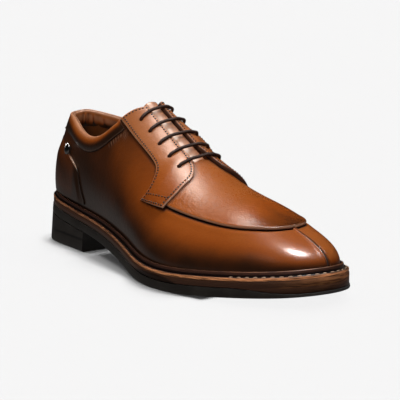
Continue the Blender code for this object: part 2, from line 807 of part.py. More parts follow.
def main():
    clear_scene()
    parts = collection("split_toe_derby")
    helpers = collection("cutters")
    brown = material("burnished_calf", (0.235, 0.072, 0.018), 0.32)
    apron_brown = material("apron_calf", (0.285, 0.088, 0.022), 0.32)
    collar_tan = material("collar_calf", (0.33, 0.115, 0.032), 0.38)
    tongue_tan = material("tongue_calf", (0.36, 0.15, 0.055), 0.4)
    dark = material("heel_calf", (0.07, 0.024, 0.010), 0.3)
    welt_brown = material("welt_leather", (0.16, 0.062, 0.025), 0.5)
    midsole_brown = material("midsole_leather", (0.06, 0.026, 0.014), 0.55)
    rubber = material("sole_rubber", (0.012, 0.009, 0.008), 0.6)
    lining = material("insole_leather", (0.36, 0.16, 0.06), 0.6)
    lace = material("waxed_lace", (0.030, 0.017, 0.013), 0.45)
    stud_black = material("stud_black", (0.010, 0.008, 0.007), 0.25, 0.6)
    build_sole(parts, rubber, midsole_brown, lining)
    build_welt(parts, welt_brown)
    build_upper(parts, brown)
    build_apron(parts, apron_brown)
    build_toe_seam(parts, brown)
    build_eyestays(parts, apron_brown)
    build_counter(parts, dark)
    build_collar(parts, collar_tan)
    build_tongue(parts, tongue_tan)
    build_eyelets(parts, helpers, rubber)
    build_laces(parts, lace)
    build_stud(parts, stud_black)


main()
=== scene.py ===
"""Looks of a right split-toe derby shoe, laid out as an add-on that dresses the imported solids.

The last is worked out in millimetres from the back of the heel, as the solids are, and place()
turns its points into metres in the solids' own frame. +X runs to the toe, +Y to the medial side,
+Z up.
"""
import json
import math

import bmesh
import bpy
import numpy as np
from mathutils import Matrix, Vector, kdtree

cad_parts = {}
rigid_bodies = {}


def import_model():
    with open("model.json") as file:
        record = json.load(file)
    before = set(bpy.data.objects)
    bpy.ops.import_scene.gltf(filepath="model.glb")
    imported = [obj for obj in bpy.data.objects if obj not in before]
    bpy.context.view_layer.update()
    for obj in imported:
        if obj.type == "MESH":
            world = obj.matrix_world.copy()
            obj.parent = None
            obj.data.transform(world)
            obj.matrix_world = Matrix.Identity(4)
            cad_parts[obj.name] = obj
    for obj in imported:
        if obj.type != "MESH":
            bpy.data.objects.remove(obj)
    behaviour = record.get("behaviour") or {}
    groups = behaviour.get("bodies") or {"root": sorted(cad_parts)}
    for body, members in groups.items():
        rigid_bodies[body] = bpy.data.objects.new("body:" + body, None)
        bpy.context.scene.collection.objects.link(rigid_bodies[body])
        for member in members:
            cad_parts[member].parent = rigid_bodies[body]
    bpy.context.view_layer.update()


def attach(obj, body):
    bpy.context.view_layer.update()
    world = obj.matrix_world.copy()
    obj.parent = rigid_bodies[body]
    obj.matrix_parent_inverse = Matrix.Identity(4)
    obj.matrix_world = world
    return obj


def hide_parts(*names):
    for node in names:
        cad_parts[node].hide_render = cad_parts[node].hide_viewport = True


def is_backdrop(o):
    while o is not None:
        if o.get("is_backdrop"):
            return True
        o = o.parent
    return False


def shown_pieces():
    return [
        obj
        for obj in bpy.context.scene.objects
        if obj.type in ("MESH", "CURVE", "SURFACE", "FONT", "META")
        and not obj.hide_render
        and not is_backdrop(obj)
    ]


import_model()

bl_info = {
    "name": "Split-toe derby",
    "version": (1, 0, 0),
    "blender": (4, 5, 0),
    "location": "3D View > Sidebar > Derby",
    "description": "Dresses the solids of a split-toe derby shoe in burnished calf",
    "category": "Object",
}

MM = 0.001
LATERAL = -1
MEDIAL = 1
SIDES = ((LATERAL, "lateral"), (MEDIAL, "medial"))

# Sizes shared with the solids
GAP = 0.3
COUNTER_LIFT = 0.5
WALL = 2.0
OVERLAY = 1.5
SOLE_FLARE = 0.07
WELT_THICK = 2.2
MIDSOLE_THICK = 4.1
MIDSOLE_TOE_THICK = 8.4
MIDSOLE_INSET = 0.5
RIB_HEIGHT = 3.3
RIB_WIDTH = 1.9
HEEL_BREAST = 70.0
INSOLE_THICK = 2.6
THROAT_HALF = 5.0
THROAT_END = 0.562
TONGUE_TOP_X = 109.0
TONGUE_TOP_BOW = 3.0
TONGUE_END_X = 190.0
COLLAR_HEIGHT = 11.0
COLLAR_CREST = 1.8
COLLAR_END = 0.347
COLLAR_SLANT = 0.028
STUD_RADIUS = 4.2
STUD_AT = (0.152, 0.341)
EYELETS = (0.411, 0.447, 0.483, 0.519, 0.555)
EYELET_UP = 0.775
MEDIAL_UP = 1.026
MEDIAL_FULL = 1.5
COUNTER_FOOT = 0.050
COUNTER_END = 0.236
APRON_START = 0.566

# Sole outline at the welt: x, reach to the lateral side, reach to the medial side
HEEL_BACK = (-1.2, 0.0)
TOE_TIP = (305.0, 7.0)
OUTLINE = (
    (2.5, 16.0, 12.5),
    (15.5, 26.6, 24.8),
    (42.0, 30.8, 32.0),
    (75.0, 34.2, 33.2),
    (110.0, 40.5, 31.8),
    (145.0, 48.5, 35.0),
    (175.0, 56.0, 41.0),
    (205.0, 57.5, 46.6),
    (235.0, 51.2, 48.2),
    (262.0, 42.4, 43.6),
    (284.0, 30.6, 36.2),
    (299.0, 15.5, 24.5),
)

# Side view of the sole: x, underside of the outsole, top of the welt
LEVELS = (
    (0.0, 24.0, 37.4),
    (60.0, 16.0, 29.2),
    (100.0, 12.7, 26.0),
    (140.0, 6.8, 20.2),
    (170.0, 1.5, 14.9),
    (188.0, 0.0, 13.3),
    (215.0, 0.0, 13.2),
    (235.0, 1.1, 14.4),
    (260.0, 3.5, 16.7),
    (285.0, 6.0, 19.3),
    (305.0, 8.3, 21.7),
)

# Welt margin: share of the side from heel to toe, distance from welt edge to upper
MARGINS = (
    (0.00, 4.4),
    (0.25, 4.5),
    (0.50, 5.0),
    (0.75, 5.6),
    (1.00, 5.7),
)

# Sections of the last, heel to toe: share along the side, top x, top z, outward lean in degrees,
# handle up the wall and handle over the crown as shares of the section, lateral then medial
SECTIONS = (
    (0.00, 25.0, 120.0, 11.0, 0.38, 0.50, 0.38, 0.50),
    (0.10, 35.0, 125.0, 10.0, 0.35, 0.46, 0.36, 0.50),
    (0.24, 64.0, 134.0, 11.0, 0.40, 0.55, 0.40, 0.55),
    (0.33, 92.0, 126.0, 10.0, 0.40, 0.55, 0.44, 0.58),
    (0.42, 117.0, 109.5, 10.0, 0.42, 0.50, 0.62, 0.70),
    (0.48, 138.1, 95.78, 10.07, 0.421, 0.491, 0.74, 0.91),
    (0.53, 157.0, 84.5, 10.0, 0.42, 0.50, 0.58, 0.78),
    (0.65, 196.0, 64.8, 9.0, 0.44, 0.55, 0.50, 0.70),
    (0.78, 228.0, 57.2, 6.0, 0.45, 0.62, 0.45, 0.63),
    (0.90, 246.0, 52.2, 4.5, 0.50, 0.66, 0.50, 0.66),
    (1.00, 256.0, 48.6, 4.5, 0.50, 0.66, 0.50, 0.66),
)
RIDGE_END_Y = 4.8

# Top line: share along the side, height on the lateral side, height on the medial side
TOP_LINE = (
    (0.000, 100.0, 100.0),
    (0.080, 99.4, 99.3),
    (0.140, 96.6, 97.0),
    (0.190, 91.0, 94.6),
    (0.250, 87.4, 92.4),
    (0.300, 91.2, 94.6),
    (0.345, 101.4, 101.6),
    (0.370, 107.4, 107.6),
    (0.400, 112.2, 112.4),
    (0.430, 116.0, 116.0),
)

# Edge of the apron: share along the side, share up the wall
APRON_EDGE = (
    (0.560, 0.475),
    (0.600, 0.503),
    (0.650, 0.528),
    (0.700, 0.538),
    (0.750, 0.541),
    (0.790, 0.557),
    (0.830, 0.600),
    (0.870, 0.662),
    (0.910, 0.742),
    (0.955, 0.823),
    (1.000, 0.868),
)

# Eyestay from its top to the foot of its tab: back edge along, up, front edge along, up
EYESTAY = (
    (0.352, 0.640, 0.404, 0.912),
    (0.399, 0.637, 0.448, 0.917),
    (0.442, 0.641, 0.498, 0.917),
    (0.480, 0.648, 0.545, 0.906),
    (0.504, 0.640, 0.579, 0.868),
    (0.513, 0.614, 0.595, 0.806),
    (0.519, 0.558, 0.597, 0.705),
    (0.520, 0.492, 0.596, 0.612),
    (0.516, 0.430, 0.592, 0.535),
    (0.507, 0.380, 0.587, 0.462),
)

# Top of the counter from the back seam to its front foot: share along the side, share up the wall
COUNTER_TOP = (
    (0.000, 0.440),
    (0.040, 0.434),
    (0.075, 0.418),
    (0.110, 0.386),
    (0.135, 0.350),
    (0.155, 0.316),
    (0.174, 0.290),
    (0.191, 0.264),
    (0.204, 0.236),
    (0.213, 0.203),
    (0.220, 0.160),
    (0.228, 0.112),
    (0.236, 0.072),
)

# Collar roll around the top edge of the upper: distance up from that edge, distance out of the wall
COLLAR_ROLL = (
    (-11.0, 0.80),
    (-8.0, 1.65),
    (-4.0, 1.85),
    (-0.8, 1.25),
    (1.1, 0.15),
    (1.7, -1.30),
    (1.1, -2.90),
    (-0.8, -3.90),
    (-4.5, -4.50),
    (-8.5, -4.00),
    (-11.0, -3.10),
)
# The roll's hidden side, against the leather that it is folded over
COLLAR_FOLD = (
    (-11.0, -2.40),
    (-6.0, -2.40),
    (0.4, -2.35),
    (0.5, -1.00),
    (0.4, 0.00),
    (-6.0, 0.10),
    (-11.0, 0.10),
)

# Photograph's camera: degrees round from the lateral side, degrees up, metres away, and its lens
# and sensor in millimetres
CAMERA_ROUND = 53.6
CAMERA_UP = 9.87
CAMERA_AWAY = 0.985
CAMERA_LENS = 126.2
CAMERA_SENSOR = 36.0
CAMERA_AIM = (0.02022, 0.00475, 0.05029)

# Top edge of the upper: where the collar stops, where the throat starts, and how far it is trimmed
COLLAR_STOP = 0.345
THROAT_START = 0.36
EDGE_TRIM = 0.6
# Front end of the collar: how sharply it turns down, and the share of its height that it loses
COLLAR_TURN = 7
COLLAR_NARROWS = 0.88
# Shares along the side between which the apron's seam rises out of the vamp
VAMP_START = (0.565, 0.60)
# Height of the band at the apron's seam that has finer rows, and the share of it above the seam
SEAM_BAND = 0.045
SEAM_BAND_OVER = 0.35
# Rough measures that turn shares of a side and of a wall into millimetres
FACING_SPAN = (350.0, 110.0)
COUNTER_SPAN = (345.0, 110.0)
FACING_LENGTH = 118.0
TONGUE_LENGTH = 85.0
# Distances out of the wall between which a lace hole is punched
EYELET_PUNCH = (-4.5, 7.0)
GATHER_PITCH = 2.5
# Toe seam: half its width, and how far its two lips stand from the middle
TOE_SEAM_HALF = 3.2
TOE_SEAM_LIP = 1.3
# Depths of the tongue and of the lining below the upper's outer surface, and their thickness
TONGUE_DEPTH = WALL + 2.6
TONGUE_THICK = 1.8
LINING_DEPTH = WALL + 0.35
LINING_THICK = 0.8

# Colours that no user would change
# pale of cut edges, and of the painted highlights on lips, crests and rims
PALE_EDGE_AND_HIGHLIGHT = (0.80, 0.58, 0.42, 1.0)
# near-black of dark seams and of painted shade on the calf
SEAM_AND_SHADE_BLACK = (0.006, 0.003, 0.002, 1.0)
# painted shade on the welt's top, in its groove and on its rib
WELT_PAINTED_SHADE = (0.004, 0.002, 0.002, 1.0)
WHITE = (1.0, 1.0, 1.0)
WARM = (1.0, 0.93, 0.84)


# The last
def spline(knots, values, ends="natural"):
    """Cubic spline through the values, with natural ends, level ends or one closed loop."""
    knots = np.asarray(knots, float)
    values = np.asarray(values, float)
    count = len(knots)
    wide = (-1,) + (1,) * (values.ndim - 1)
    step = np.diff(knots)
    rate = np.diff(values, axis=0) / step.reshape(wide)
    system = np.zeros((count, count))
    right = np.zeros_like(values)
    for i in range(1, count - 1):
        system[i, i - 1:i + 2] = step[i - 1], 2 * (step[i - 1] + step[i]), step[i]
        right[i] = 6 * (rate[i] - rate[i - 1])
    if ends == "closed":
        system[0, 0] = 1
        system[0, -1] = -1
        system[-1, :2] = 2 * step[0], step[0]
        system[-1, -2:] += step[-1], 2 * step[-1]
        right[-1] = 6 * (rate[0] - rate[-1])
    elif ends == "level":
        system[0, :2] = 2 * step[0], step[0]
        system[-1, -2:] = step[-1], 2 * step[-1]
        right[0] = 6 * rate[0]
        right[-1] = -6 * rate[-1]
    else:
        system[0, 0] = 1
        system[-1, -1] = 1
    bend = np.linalg.solve(system, right)

    def at(where):
        where = np.asarray(where, float)
        i = np.clip(np.searchsorted(knots, where, side="right") - 1, 0, count - 2)
        shape = where.shape + (1,) * (values.ndim - 1)
        after = (where - knots[i]).reshape(shape)
        before = (knots[i + 1] - where).reshape(shape)
        length = step[i].reshape(shape)
        curved = (bend[i] * before ** 3 + bend[i + 1] * after ** 3) / (6 * length)
        first = (values[i] / length - bend[i] * length / 6) * before
        last = (values[i + 1] / length - bend[i + 1] * length / 6) * after
        return curved + first + last

    return at


def run_length(points):
    """Distance along a line of points at each of them."""
    steps = np.linalg.norm(np.diff(points, axis=0), axis=1)
    return np.concatenate([[0.0], np.cumsum(steps)])


def unit(vectors):
    """Vectors of length one."""
    return vectors / np.linalg.norm(vectors, axis=-1, keepdims=True)


def chord_spline(points, samples):
    """Points spread evenly along a smooth curve through the given ones."""
    points = np.asarray(points, float)
    knots = run_length(points)
    return spline(knots, points)(np.linspace(0.0, knots[-1], samples))


def table_splines(rows, ends="natural"):
    """Spline of each later column of a table by its first one."""
    table = np.array(rows)
    return [spline(table[:, 0], table[:, k], ends) for k in range(1, table.shape[1])]


def split_outline():
    """Each side of the outline from heel to toe: shares of its length, points, normals, length."""
    rows = np.array(OUTLINE)
    lateral = np.column_stack([rows[:, 0], -rows[:, 1]])
    medial = np.column_stack([rows[:, 0], rows[:, 2]])
    points = np.concatenate([[HEEL_BACK], lateral, [TOE_TIP], medial[::-1], [HEEL_BACK]])
    chords = np.linalg.norm(np.diff(points, axis=0), axis=1)
    knots = np.concatenate([[0.0], np.cumsum(np.sqrt(chords))])
    curve = spline(knots, points, "closed")
    toe = knots[len(rows) + 1]
    halves = {}
    for side, start in ((LATERAL, knots[0]), (MEDIAL, knots[-1])):
        where = np.linspace(start, toe, 1201)
        line = curve(where)
        run = run_length(line)
        tangent = unit(curve((where + 1e-4) % knots[-1]) - curve((where - 1e-4) % knots[-1]))
        normal = np.column_stack([tangent[:, 1], -tangent[:, 0]])
        halves[side] = (run / run[-1], line, normal, run[-1])
    return halves


HALVES = split_outline()
underside_curve, welt_top = table_splines(LEVELS)
(margin,) = table_splines(MARGINS, "level")
ridge_x, ridge_z, lean, *handles = table_splines(SECTIONS, "level")
top_lateral, top_medial = table_splines(TOP_LINE)
(apron_edge,) = table_splines(APRON_EDGE)
(counter_top,) = table_splines(COUNTER_TOP)


def underside(x):
    """Underside of the outsole, with a true flat under the ball."""
    return np.maximum(underside_curve(x), 0.0)


def side_length(side):
    """Millimetres of one side of the sole's edge from heel to toe."""
    return HALVES[side][3]


def outline(side, along, outward=0.0):
    """Plan point of the sole's edge on one side, moved outward, and the way out there."""
    shares, line, normals, _ = HALVES[side]
    point = np.stack([np.interp(along, shares, line[:, k]) for k in (0, 1)], -1)
    normal = unit(np.stack([np.interp(along, shares, normals[:, k]) for k in (0, 1)], -1))
    return point + normal * np.asarray(outward)[..., None], normal


def centre_y(x):
    return RIDGE_END_Y * np.clip(x / SECTIONS[-1][1], 0.0, 1.0) ** 2


def wall(side, along, up):
    """Outer surface of the upper: up is 0 at the welt and 1 at the top of the last."""
    along, up = np.broadcast_arrays(np.asarray(along, float), np.asarray(up, float))
    edge, _ = outline(side, along)
    foot, normal = outline(side, along, -margin(along))
    base = np.concatenate([foot, welt_top(edge[..., 0])[..., None]], -1)
    x = ridge_x(along)
    z = ridge_z(along)
    ridge = np.stack([x, centre_y(x), z], -1)
    rise, crown = handles[:2] if side == LATERAL else handles[2:]
    tilt = np.radians(lean(along))[..., None]
    height = ((z - base[..., 2]) * rise(along))[..., None]
    low = base + height * np.concatenate([normal * np.sin(tilt), np.cos(tilt)], -1)
    before = np.clip(along - 0.001, 0.0, 1.0)
    after = np.clip(along + 0.001, 0.0, 1.0)
    slope = (ridge_z(after) - ridge_z(before)) / (ridge_x(after) - ridge_x(before))
    reach = base[..., :2] - ridge[..., :2]
    over = np.concatenate([reach, (slope * reach[..., 0])[..., None]], -1)
    high = ridge + crown(along)[..., None] * over
    t = up[..., None]
    r = 1 - t
    return base * r ** 3 + 3 * low * t * r ** 2 + 3 * high * t ** 2 * r + ridge * t ** 3


def wall_past_seam(side, along, up):
    """The wall, carried on over the back seam and the toe seam to the other side."""
    beyond = (along < 0.0) | (along > 1.0)
    folded = np.where(along > 1.0, 2.0 - along, np.abs(along))
    return np.where(beyond[..., None], wall(-side, folded, up), wall(side, folded, up))


def wall_normal(side, along, up):
    """Way out of the upper's outer surface."""
    along, up = np.broadcast_arrays(np.asarray(along, float), np.asarray(up, float))
    below = np.clip(up - 0.002, 0.0, 1.0)
    above = np.clip(up + 0.002, 0.0, 1.0)
    near = np.minimum(up, 0.99)
    run = wall_past_seam(side, along + 0.002, near) - wall_past_seam(side, along - 0.002, near)
    climb = wall(side, along, above) - wall(side, along, below)
    return unit(-side * np.cross(run, climb))


def skin(side, along, up, out):
    """Point at a distance out of the upper's outer surface."""
    return wall(side, along, up) + np.asarray(out)[..., None] * wall_normal(side, along, up)


def climb_rate(side, along, up):
    """Millimetres of wall for one whole share up."""
    low = np.clip(up - 0.01, 0.0, 1.0)
    high = np.clip(up + 0.01, 0.0, 1.0)
    length = np.linalg.norm(wall(side, along, high) - wall(side, along, low), axis=-1)
    return length / np.maximum(high - low, 1e-6)


def both_sides(across, evaluate):
    """Evaluates the lateral half where across is negative and the medial half where it is not."""
    lateral = evaluate(LATERAL)
    medial = evaluate(MEDIAL)
    pick = across < 0
    return np.where(pick[..., None] if lateral.ndim > pick.ndim else pick, lateral, medial)


def skin_across(across, along, up, out):
    """Point out of the upper, on the lateral side where across is negative."""
    return both_sides(across, lambda side: skin(side, along, up, out))


def rate_across(across, along, up):
    """Millimetres of wall for one whole share up, by the side that across gives."""
    return both_sides(across, lambda side: climb_rate(side, along, up))


def halve(low, high, reached):
    """Value between low and high at which reached() turns true, found by halving."""
    for _ in range(30):
        middle = (low + high) / 2
        over = reached(middle)
        high = np.where(over, middle, high)
        low = np.where(over, low, middle)
    return (low + high) / 2


def up_where(side, along, reached):
    """Share up the wall at which reached() turns true of the wall's point."""
    return halve(np.zeros_like(along), np.ones_like(along),
                 lambda up: reached(wall(side, along, up)))


def along_where(side, up, x):
    """Share along the side at which the wall reaches x at the given share up."""
    return halve(np.full_like(up, 0.3), np.full_like(up, 0.75),
                 lambda along: wall(side, along, up)[..., 0] > x)


def off_centre(points):
    """Distance of points from the last's middle line, in plan."""
    return np.abs(points[..., 1] - centre_y(points[..., 0]))


def upper_edge(side, along):
    """Top edge of the upper: the top line, the throat edge, or the ridge in front of the throat."""
    along = np.asarray(along, float)
    line_end = TOP_LINE[-1][0]
    line = (top_lateral if side == LATERAL else top_medial)(np.minimum(along, line_end))
    below_crest = np.where(along < COLLAR_STOP, COLLAR_CREST, EDGE_TRIM)
    by_height = up_where(side, along, lambda p: p[..., 2] > line - below_crest)
    by_throat = up_where(side, along, lambda p: off_centre(p) < THROAT_HALF + EDGE_TRIM)
    by_throat = np.where(along < THROAT_START, 1.0, by_throat)
    by_height = np.where(along < line_end, by_height, 1.0)
    return np.where(along > THROAT_END + 0.001, 1.0, np.minimum(by_height, by_throat))


def frame_shift():
    """Middle of the sole's plan, so that the origin is under the middle of the shoe."""
    points = []
    for side in (LATERAL, MEDIAL):
        along = np.linspace(0.0, 1.0, 400)
        edge, _ = outline(side, along)
        drop = welt_top(edge[:, 0]) - np.where(edge[:, 0] < HEEL_BREAST, 0.0, underside(edge[:, 0]))
        points.append(outline(side, along, SOLE_FLARE * drop)[0])
    points = np.concatenate(points)
    return (points.min(axis=0) + points.max(axis=0)) / 2


SHIFT = frame_shift()


def place(points):
    """Millimetres from the heel to metres about the middle of the shoe."""
    points = np.array(points, float)
    points[..., :2] -= SHIFT
    return points * MM


def smooth(low, high, value):
    """Eased step from 0 at low to 1 at high."""
    t = np.clip((value - low) / (high - low), 0.0, 1.0)
    return t * t * (3 - 2 * t)


def hump(value, centre, width):
    return np.exp(-((value - centre) / width) ** 2)


def spread(count, crowd):
    """Shares from 0 to 1 in equal steps, eased toward both ends by crowd."""
    t = np.linspace(0.0, 1.0, count + 1)
    return t - crowd * np.sin(2 * math.pi * t) / (2 * math.pi)


def edged(count, length, radius):
    """Shares from 0 to 1 with extra ones inside the rounding at both ends of a length."""
    rounding = radius / length * np.array([0.0, 0.07, 0.26, 0.58, 1.0])
    inner = np.linspace(rounding[-1], 1.0 - rounding[-1], count + 1)
    return np.concatenate([rounding[:-1], inner, 1.0 - rounding[-2::-1]])


def mirrored(half):
    """Columns from the front of the lateral half, as negative shares, to that of the medial one."""
    return np.concatenate([-half[:0:-1], half])


def round_toe(lateral, medial):
    """Rows of the lateral side from heel to toe, and on along the medial side back to the heel."""
    return np.concatenate([lateral, medial[-2::-1]])


# Meshes
def grid_faces(columns, rows, start=0):
    """Quads of a grid of cells whose points are stored column by column."""
    first = start + np.arange(columns)[:, None] * (rows + 1) + np.arange(rows)[None]
    return np.stack([first, first + rows + 1, first + rows + 2, first + 1], -1).reshape(-1, 4)


def new_mesh(name, points, faces, marks=None):
    """Mesh of points in millimetres, with one named value for each point in every mark."""
    mesh = bpy.data.meshes.new(name)
    faces = faces if isinstance(faces, list) else faces.tolist()
    mesh.from_pydata(place(points).tolist(), [], faces)
    for key, values in (marks or {}).items():
        layer = mesh.attributes.new(key, "FLOAT", "POINT")
        layer.data.foreach_set("value", np.ascontiguousarray(values, np.float32).ravel())
    return mesh


def grid_mesh(name, points, marks=None):
    """Open mesh of a grid of points."""
    faces = grid_faces(points.shape[0] - 1, points.shape[1] - 1)
    return new_mesh(name, points.reshape(-1, 3), faces, marks)


def weld(mesh):
    """Closes a mesh's seams and turns its faces outward."""
    bm = bmesh.new()
    bm.from_mesh(mesh)
    bmesh.ops.remove_doubles(bm, verts=bm.verts[:], dist=2e-6)
    bmesh.ops.dissolve_degenerate(bm, dist=1e-7, edges=bm.edges[:])
    bmesh.ops.recalc_face_normals(bm, faces=bm.faces[:])
    if all(edge.is_manifold for edge in bm.edges) and bm.calc_volume(signed=True) < 0:
        bmesh.ops.reverse_faces(bm, faces=bm.faces[:])
    bm.to_mesh(mesh)
    bm.free()
    return mesh


def face_outward(mesh):
    """Turns an open sheet so that its faces look away from its middle."""
    middle = np.mean([v.co for v in mesh.vertices], axis=0)
    facing = sum((np.array(f.center) - middle) @ np.array(f.normal) * f.area for f in mesh.polygons)
    if facing < 0:
        mesh.flip_normals()


def new_object(name, data):
    """Object in the scene for a mesh, a light or a camera."""
    obj = bpy.data.objects.new(name, data)
    bpy.context.scene.collection.objects.link(obj)
    return obj


def add_piece(name, mesh, finishes, nodes=(), sharp=None):
    """Object for a finished mesh, riding on the shoe's one body."""
    mesh.materials.clear()
    for key in finishes:
        mesh.materials.append(finish(key))
    mesh.shade_smooth()
    if sharp:
        mesh.set_sharp_from_angle(angle=math.radians(sharp))
    piece = new_object(name, mesh)
    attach(piece, "root")
    if nodes:
        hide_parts(*nodes)
    return piece


def baked(obj):
    """Plain mesh of an object with its modifiers; the object goes."""
    graph = bpy.context.evaluated_depsgraph_get()
    mesh = bpy.data.meshes.new_from_object(obj.evaluated_get(graph), preserve_all_data_layers=True,
                                           depsgraph=graph)
    bpy.data.objects.remove(obj, do_unlink=True)
    return mesh


def slab_mesh(name, columns, rows, front, back, marks=None, open_sides=()):
    """Closed mesh between two surfaces over the unit square; open sides meet in a weld."""
    u, v = np.meshgrid(columns, rows, indexing="ij")
    across, down = u.shape[0] - 1, u.shape[1] - 1
    top = front(u, v).reshape(-1, 3)
    low = back(u, v).reshape(-1, 3)
    index = np.arange(u.size).reshape(u.shape)
    rims = {"start": index[0], "end": index[-1], "left": index[:, 0], "right": index[:, -1]}
    faces = [grid_faces(across, down), grid_faces(across, down, u.size)[:, ::-1]]
    for side, line in rims.items():
        if side not in open_sides:
            faces.append(np.stack([line[:-1], line[1:], line[1:] + u.size, line[:-1] + u.size], -1))
    values = {}
    for key, mark_at in (marks or {}).items():
        shown = mark_at(u, v).ravel()
        # the underside and the cut sides take the full seam mark: painted shade down an overlay's
        # cut walls
        values[key] = np.concatenate([shown, np.ones_like(shown) if key == "seam" else shown])
    return weld(new_mesh(name, np.concatenate([top, low]), np.concatenate(faces), values))


def tube_mesh(name, path, radius, sides):
    """Round cord along a path, with domed ends and the distance along it kept for its finish."""
    step = unit(np.gradient(path, axis=0))
    aside = np.cross(step[0], (0.0, 0.0, 1.0))
    rings = []
    run = run_length(path)
    turn = np.linspace(0.0, 2 * math.pi, sides, endpoint=False)
    for point, ahead, length in zip(path, step, run):
        aside = aside - ahead * (aside @ ahead)
        aside /= np.linalg.norm(aside)
        over = np.cross(ahead, aside)
        end = min(length, run[-1] - length)
        round_off = math.sqrt(1 - (1 - min(end / radius, 1.0)) ** 2) if end < radius else 1.0
        size = radius * max(round_off, 0.05)
        rings.append(point + size * (np.cos(turn)[:, None] * aside + np.sin(turn)[:, None] * over))
    points = np.concatenate(rings)
    start = np.arange(len(path) - 1)[:, None] * sides
    first = start + np.arange(sides)
    beside = start + (np.arange(sides) + 1) % sides
    faces = np.stack([first, beside, beside + sides, first + sides], -1).reshape(-1, 4).tolist()
    faces.append(list(range(sides))[::-1])
    faces.append(list(range(len(points) - sides, len(points))))
    marks = {"length": np.repeat(run, sides), "turn": np.tile(turn, len(path))}
    return weld(new_mesh(name, points, faces, marks))


# Node trees
def fill(tree, node, values):
    """Sets a node's inputs, by name or number, each to a socket or to a plain value."""
    for key, value in values.items():
        if isinstance(value, bpy.types.NodeSocket):
            tree.links.new(value, node.inputs[key])
        else:
            node.inputs[key].default_value = value


def add_node(tree, kind, inputs=None, **options):
    """Node with its options set and its inputs filled."""
    node = tree.nodes.new(kind)
    for key, value in options.items():
        setattr(node, key, value)
    fill(tree, node, inputs or {})
    return node


def math_node(tree, operation, *inputs):
    node = add_node(tree, "ShaderNodeMath", dict(enumerate(inputs)), operation=operation)
    return node.outputs[0]


def mix_colour(tree, share, first, second):
    """Colour between two others."""
    node = add_node(tree, "ShaderNodeMix", data_type="RGBA")
    number = {socket.identifier: i for i, socket in enumerate(node.inputs)}
    fill(tree, node, {number["Factor_Float"]: share, number["A_Color"]: first,
                      number["B_Color"]: second})
    return next(s for s in node.outputs if s.identifier == "Result_Color")


def ramp(tree, value, low, high):
    """Eased step of a value from 0 at low to 1 at high."""
    inputs = {"Value": value, "From Min": low, "From Max": high}
    node = add_node(tree, "ShaderNodeMapRange", inputs, interpolation_type="SMOOTHSTEP")
    return node.outputs["Result"]


def noise(tree, where, scale, detail=2.0):
    """Cloudy value from 0 to 1."""
    inputs = {"Vector": where, "Scale": scale, "Detail": detail}
    return add_node(tree, "ShaderNodeTexNoise", inputs).outputs["Fac"]


def bumped(tree, height, strength, distance):
    """Normal over a height whose whole range is a distance in metres."""
    inputs = {"Height": height, "Strength": strength, "Distance": distance}
    return add_node(tree, "ShaderNodeBump", inputs).outputs["Normal"]


def shader_group(name, inputs, outputs):
    """Empty shader node group with named sockets: its tree, what it is given, its output node."""
    tree = bpy.data.node_groups.new(name, "ShaderNodeTree")
    for in_out, sockets in (("INPUT", inputs), ("OUTPUT", outputs)):
        for socket, kind in sockets.items():
            tree.interface.new_socket(socket, in_out=in_out, socket_type="NodeSocket" + kind)
    return tree, tree.nodes.new("NodeGroupInput").outputs, tree.nodes.new("NodeGroupOutput")


def patina_group():
    """Burnished calf: dye as deep as the mark of burnishing and painted shade, mottling, pale cut
    edges with painted highlights, and dark seams with painted shade.
    """
    tree, given, result = shader_group(
        "calf_patina",
        {"Vector": "Vector", "Tan": "Color", "Brown": "Color", "Dark": "Color",
         "Burnish": "Float", "Edge": "Float", "Seam": "Float", "Mottle": "Float"},
        {"Color": "Color", "Roughness": "Float"})
    drift = math_node(tree, "SUBTRACT", noise(tree, given["Vector"], 55.0, 4.0), 0.5)
    drift = math_node(tree, "MULTIPLY", drift, given["Mottle"])
    depth = math_node(tree, "ADD", given["Burnish"], drift)
    colour = mix_colour(tree, ramp(tree, depth, 0.0, 0.5), given["Tan"], given["Brown"])
    colour = mix_colour(tree, ramp(tree, depth, 0.35, 1.0), colour, given["Dark"])
    speck = noise(tree, given["Vector"], 900.0)
    fleck = math_node(tree, "MULTIPLY", ramp(tree, speck, 0.2, 0.8), 0.14)
    colour = mix_colour(tree, fleck, colour, given["Dark"])
    pale = mix_colour(tree, 0.55, given["Tan"], PALE_EDGE_AND_HIGHLIGHT)
    colour = mix_colour(tree, math_node(tree, "MULTIPLY", given["Edge"], 0.85), colour, pale)
    colour = mix_colour(tree, given["Seam"], colour, SEAM_AND_SHADE_BLACK)
    rough = math_node(tree, "MULTIPLY_ADD", speck, 0.10, 0.27)
    rough = math_node(tree, "MULTIPLY_ADD", given["Seam"], 0.45, rough)
    rough = math_node(tree, "MULTIPLY_ADD", given["Edge"], 0.08, rough)
    fill(tree, result, {"Color": colour, "Roughness": rough})


def grain_group():
    """Height of fine calf grain: pores between small rounded cells, over a broader swell."""
    tree, given, result = shader_group(
        "calf_grain", {"Vector": "Vector", "Cells": "Float"}, {"Height": "Float"})
    where = given["Vector"]
    wander = add_node(tree, "ShaderNodeTexNoise", {"Vector": where, "Scale": 320.0, "Detail": 3.0})
    shift = add_node(tree, "ShaderNodeVectorMath", {0: wander.outputs["Color"], "Scale": 0.0011},
                     operation="SCALE")
    moved = add_node(tree, "ShaderNodeVectorMath", {0: where, 1: shift.outputs[0]}, operation="ADD")
    cells = add_node(tree, "ShaderNodeTexVoronoi",
                     {"Vector": moved.outputs[0], "Scale": given["Cells"]}, feature="SMOOTH_F1")
    dome = math_node(tree, "SUBTRACT", 1.0, cells.outputs["Distance"])
    height = math_node(tree, "MULTIPLY_ADD", noise(tree, where, 280.0, 3.0), 2.2, dome)
    fill(tree, result, {"Height": height})


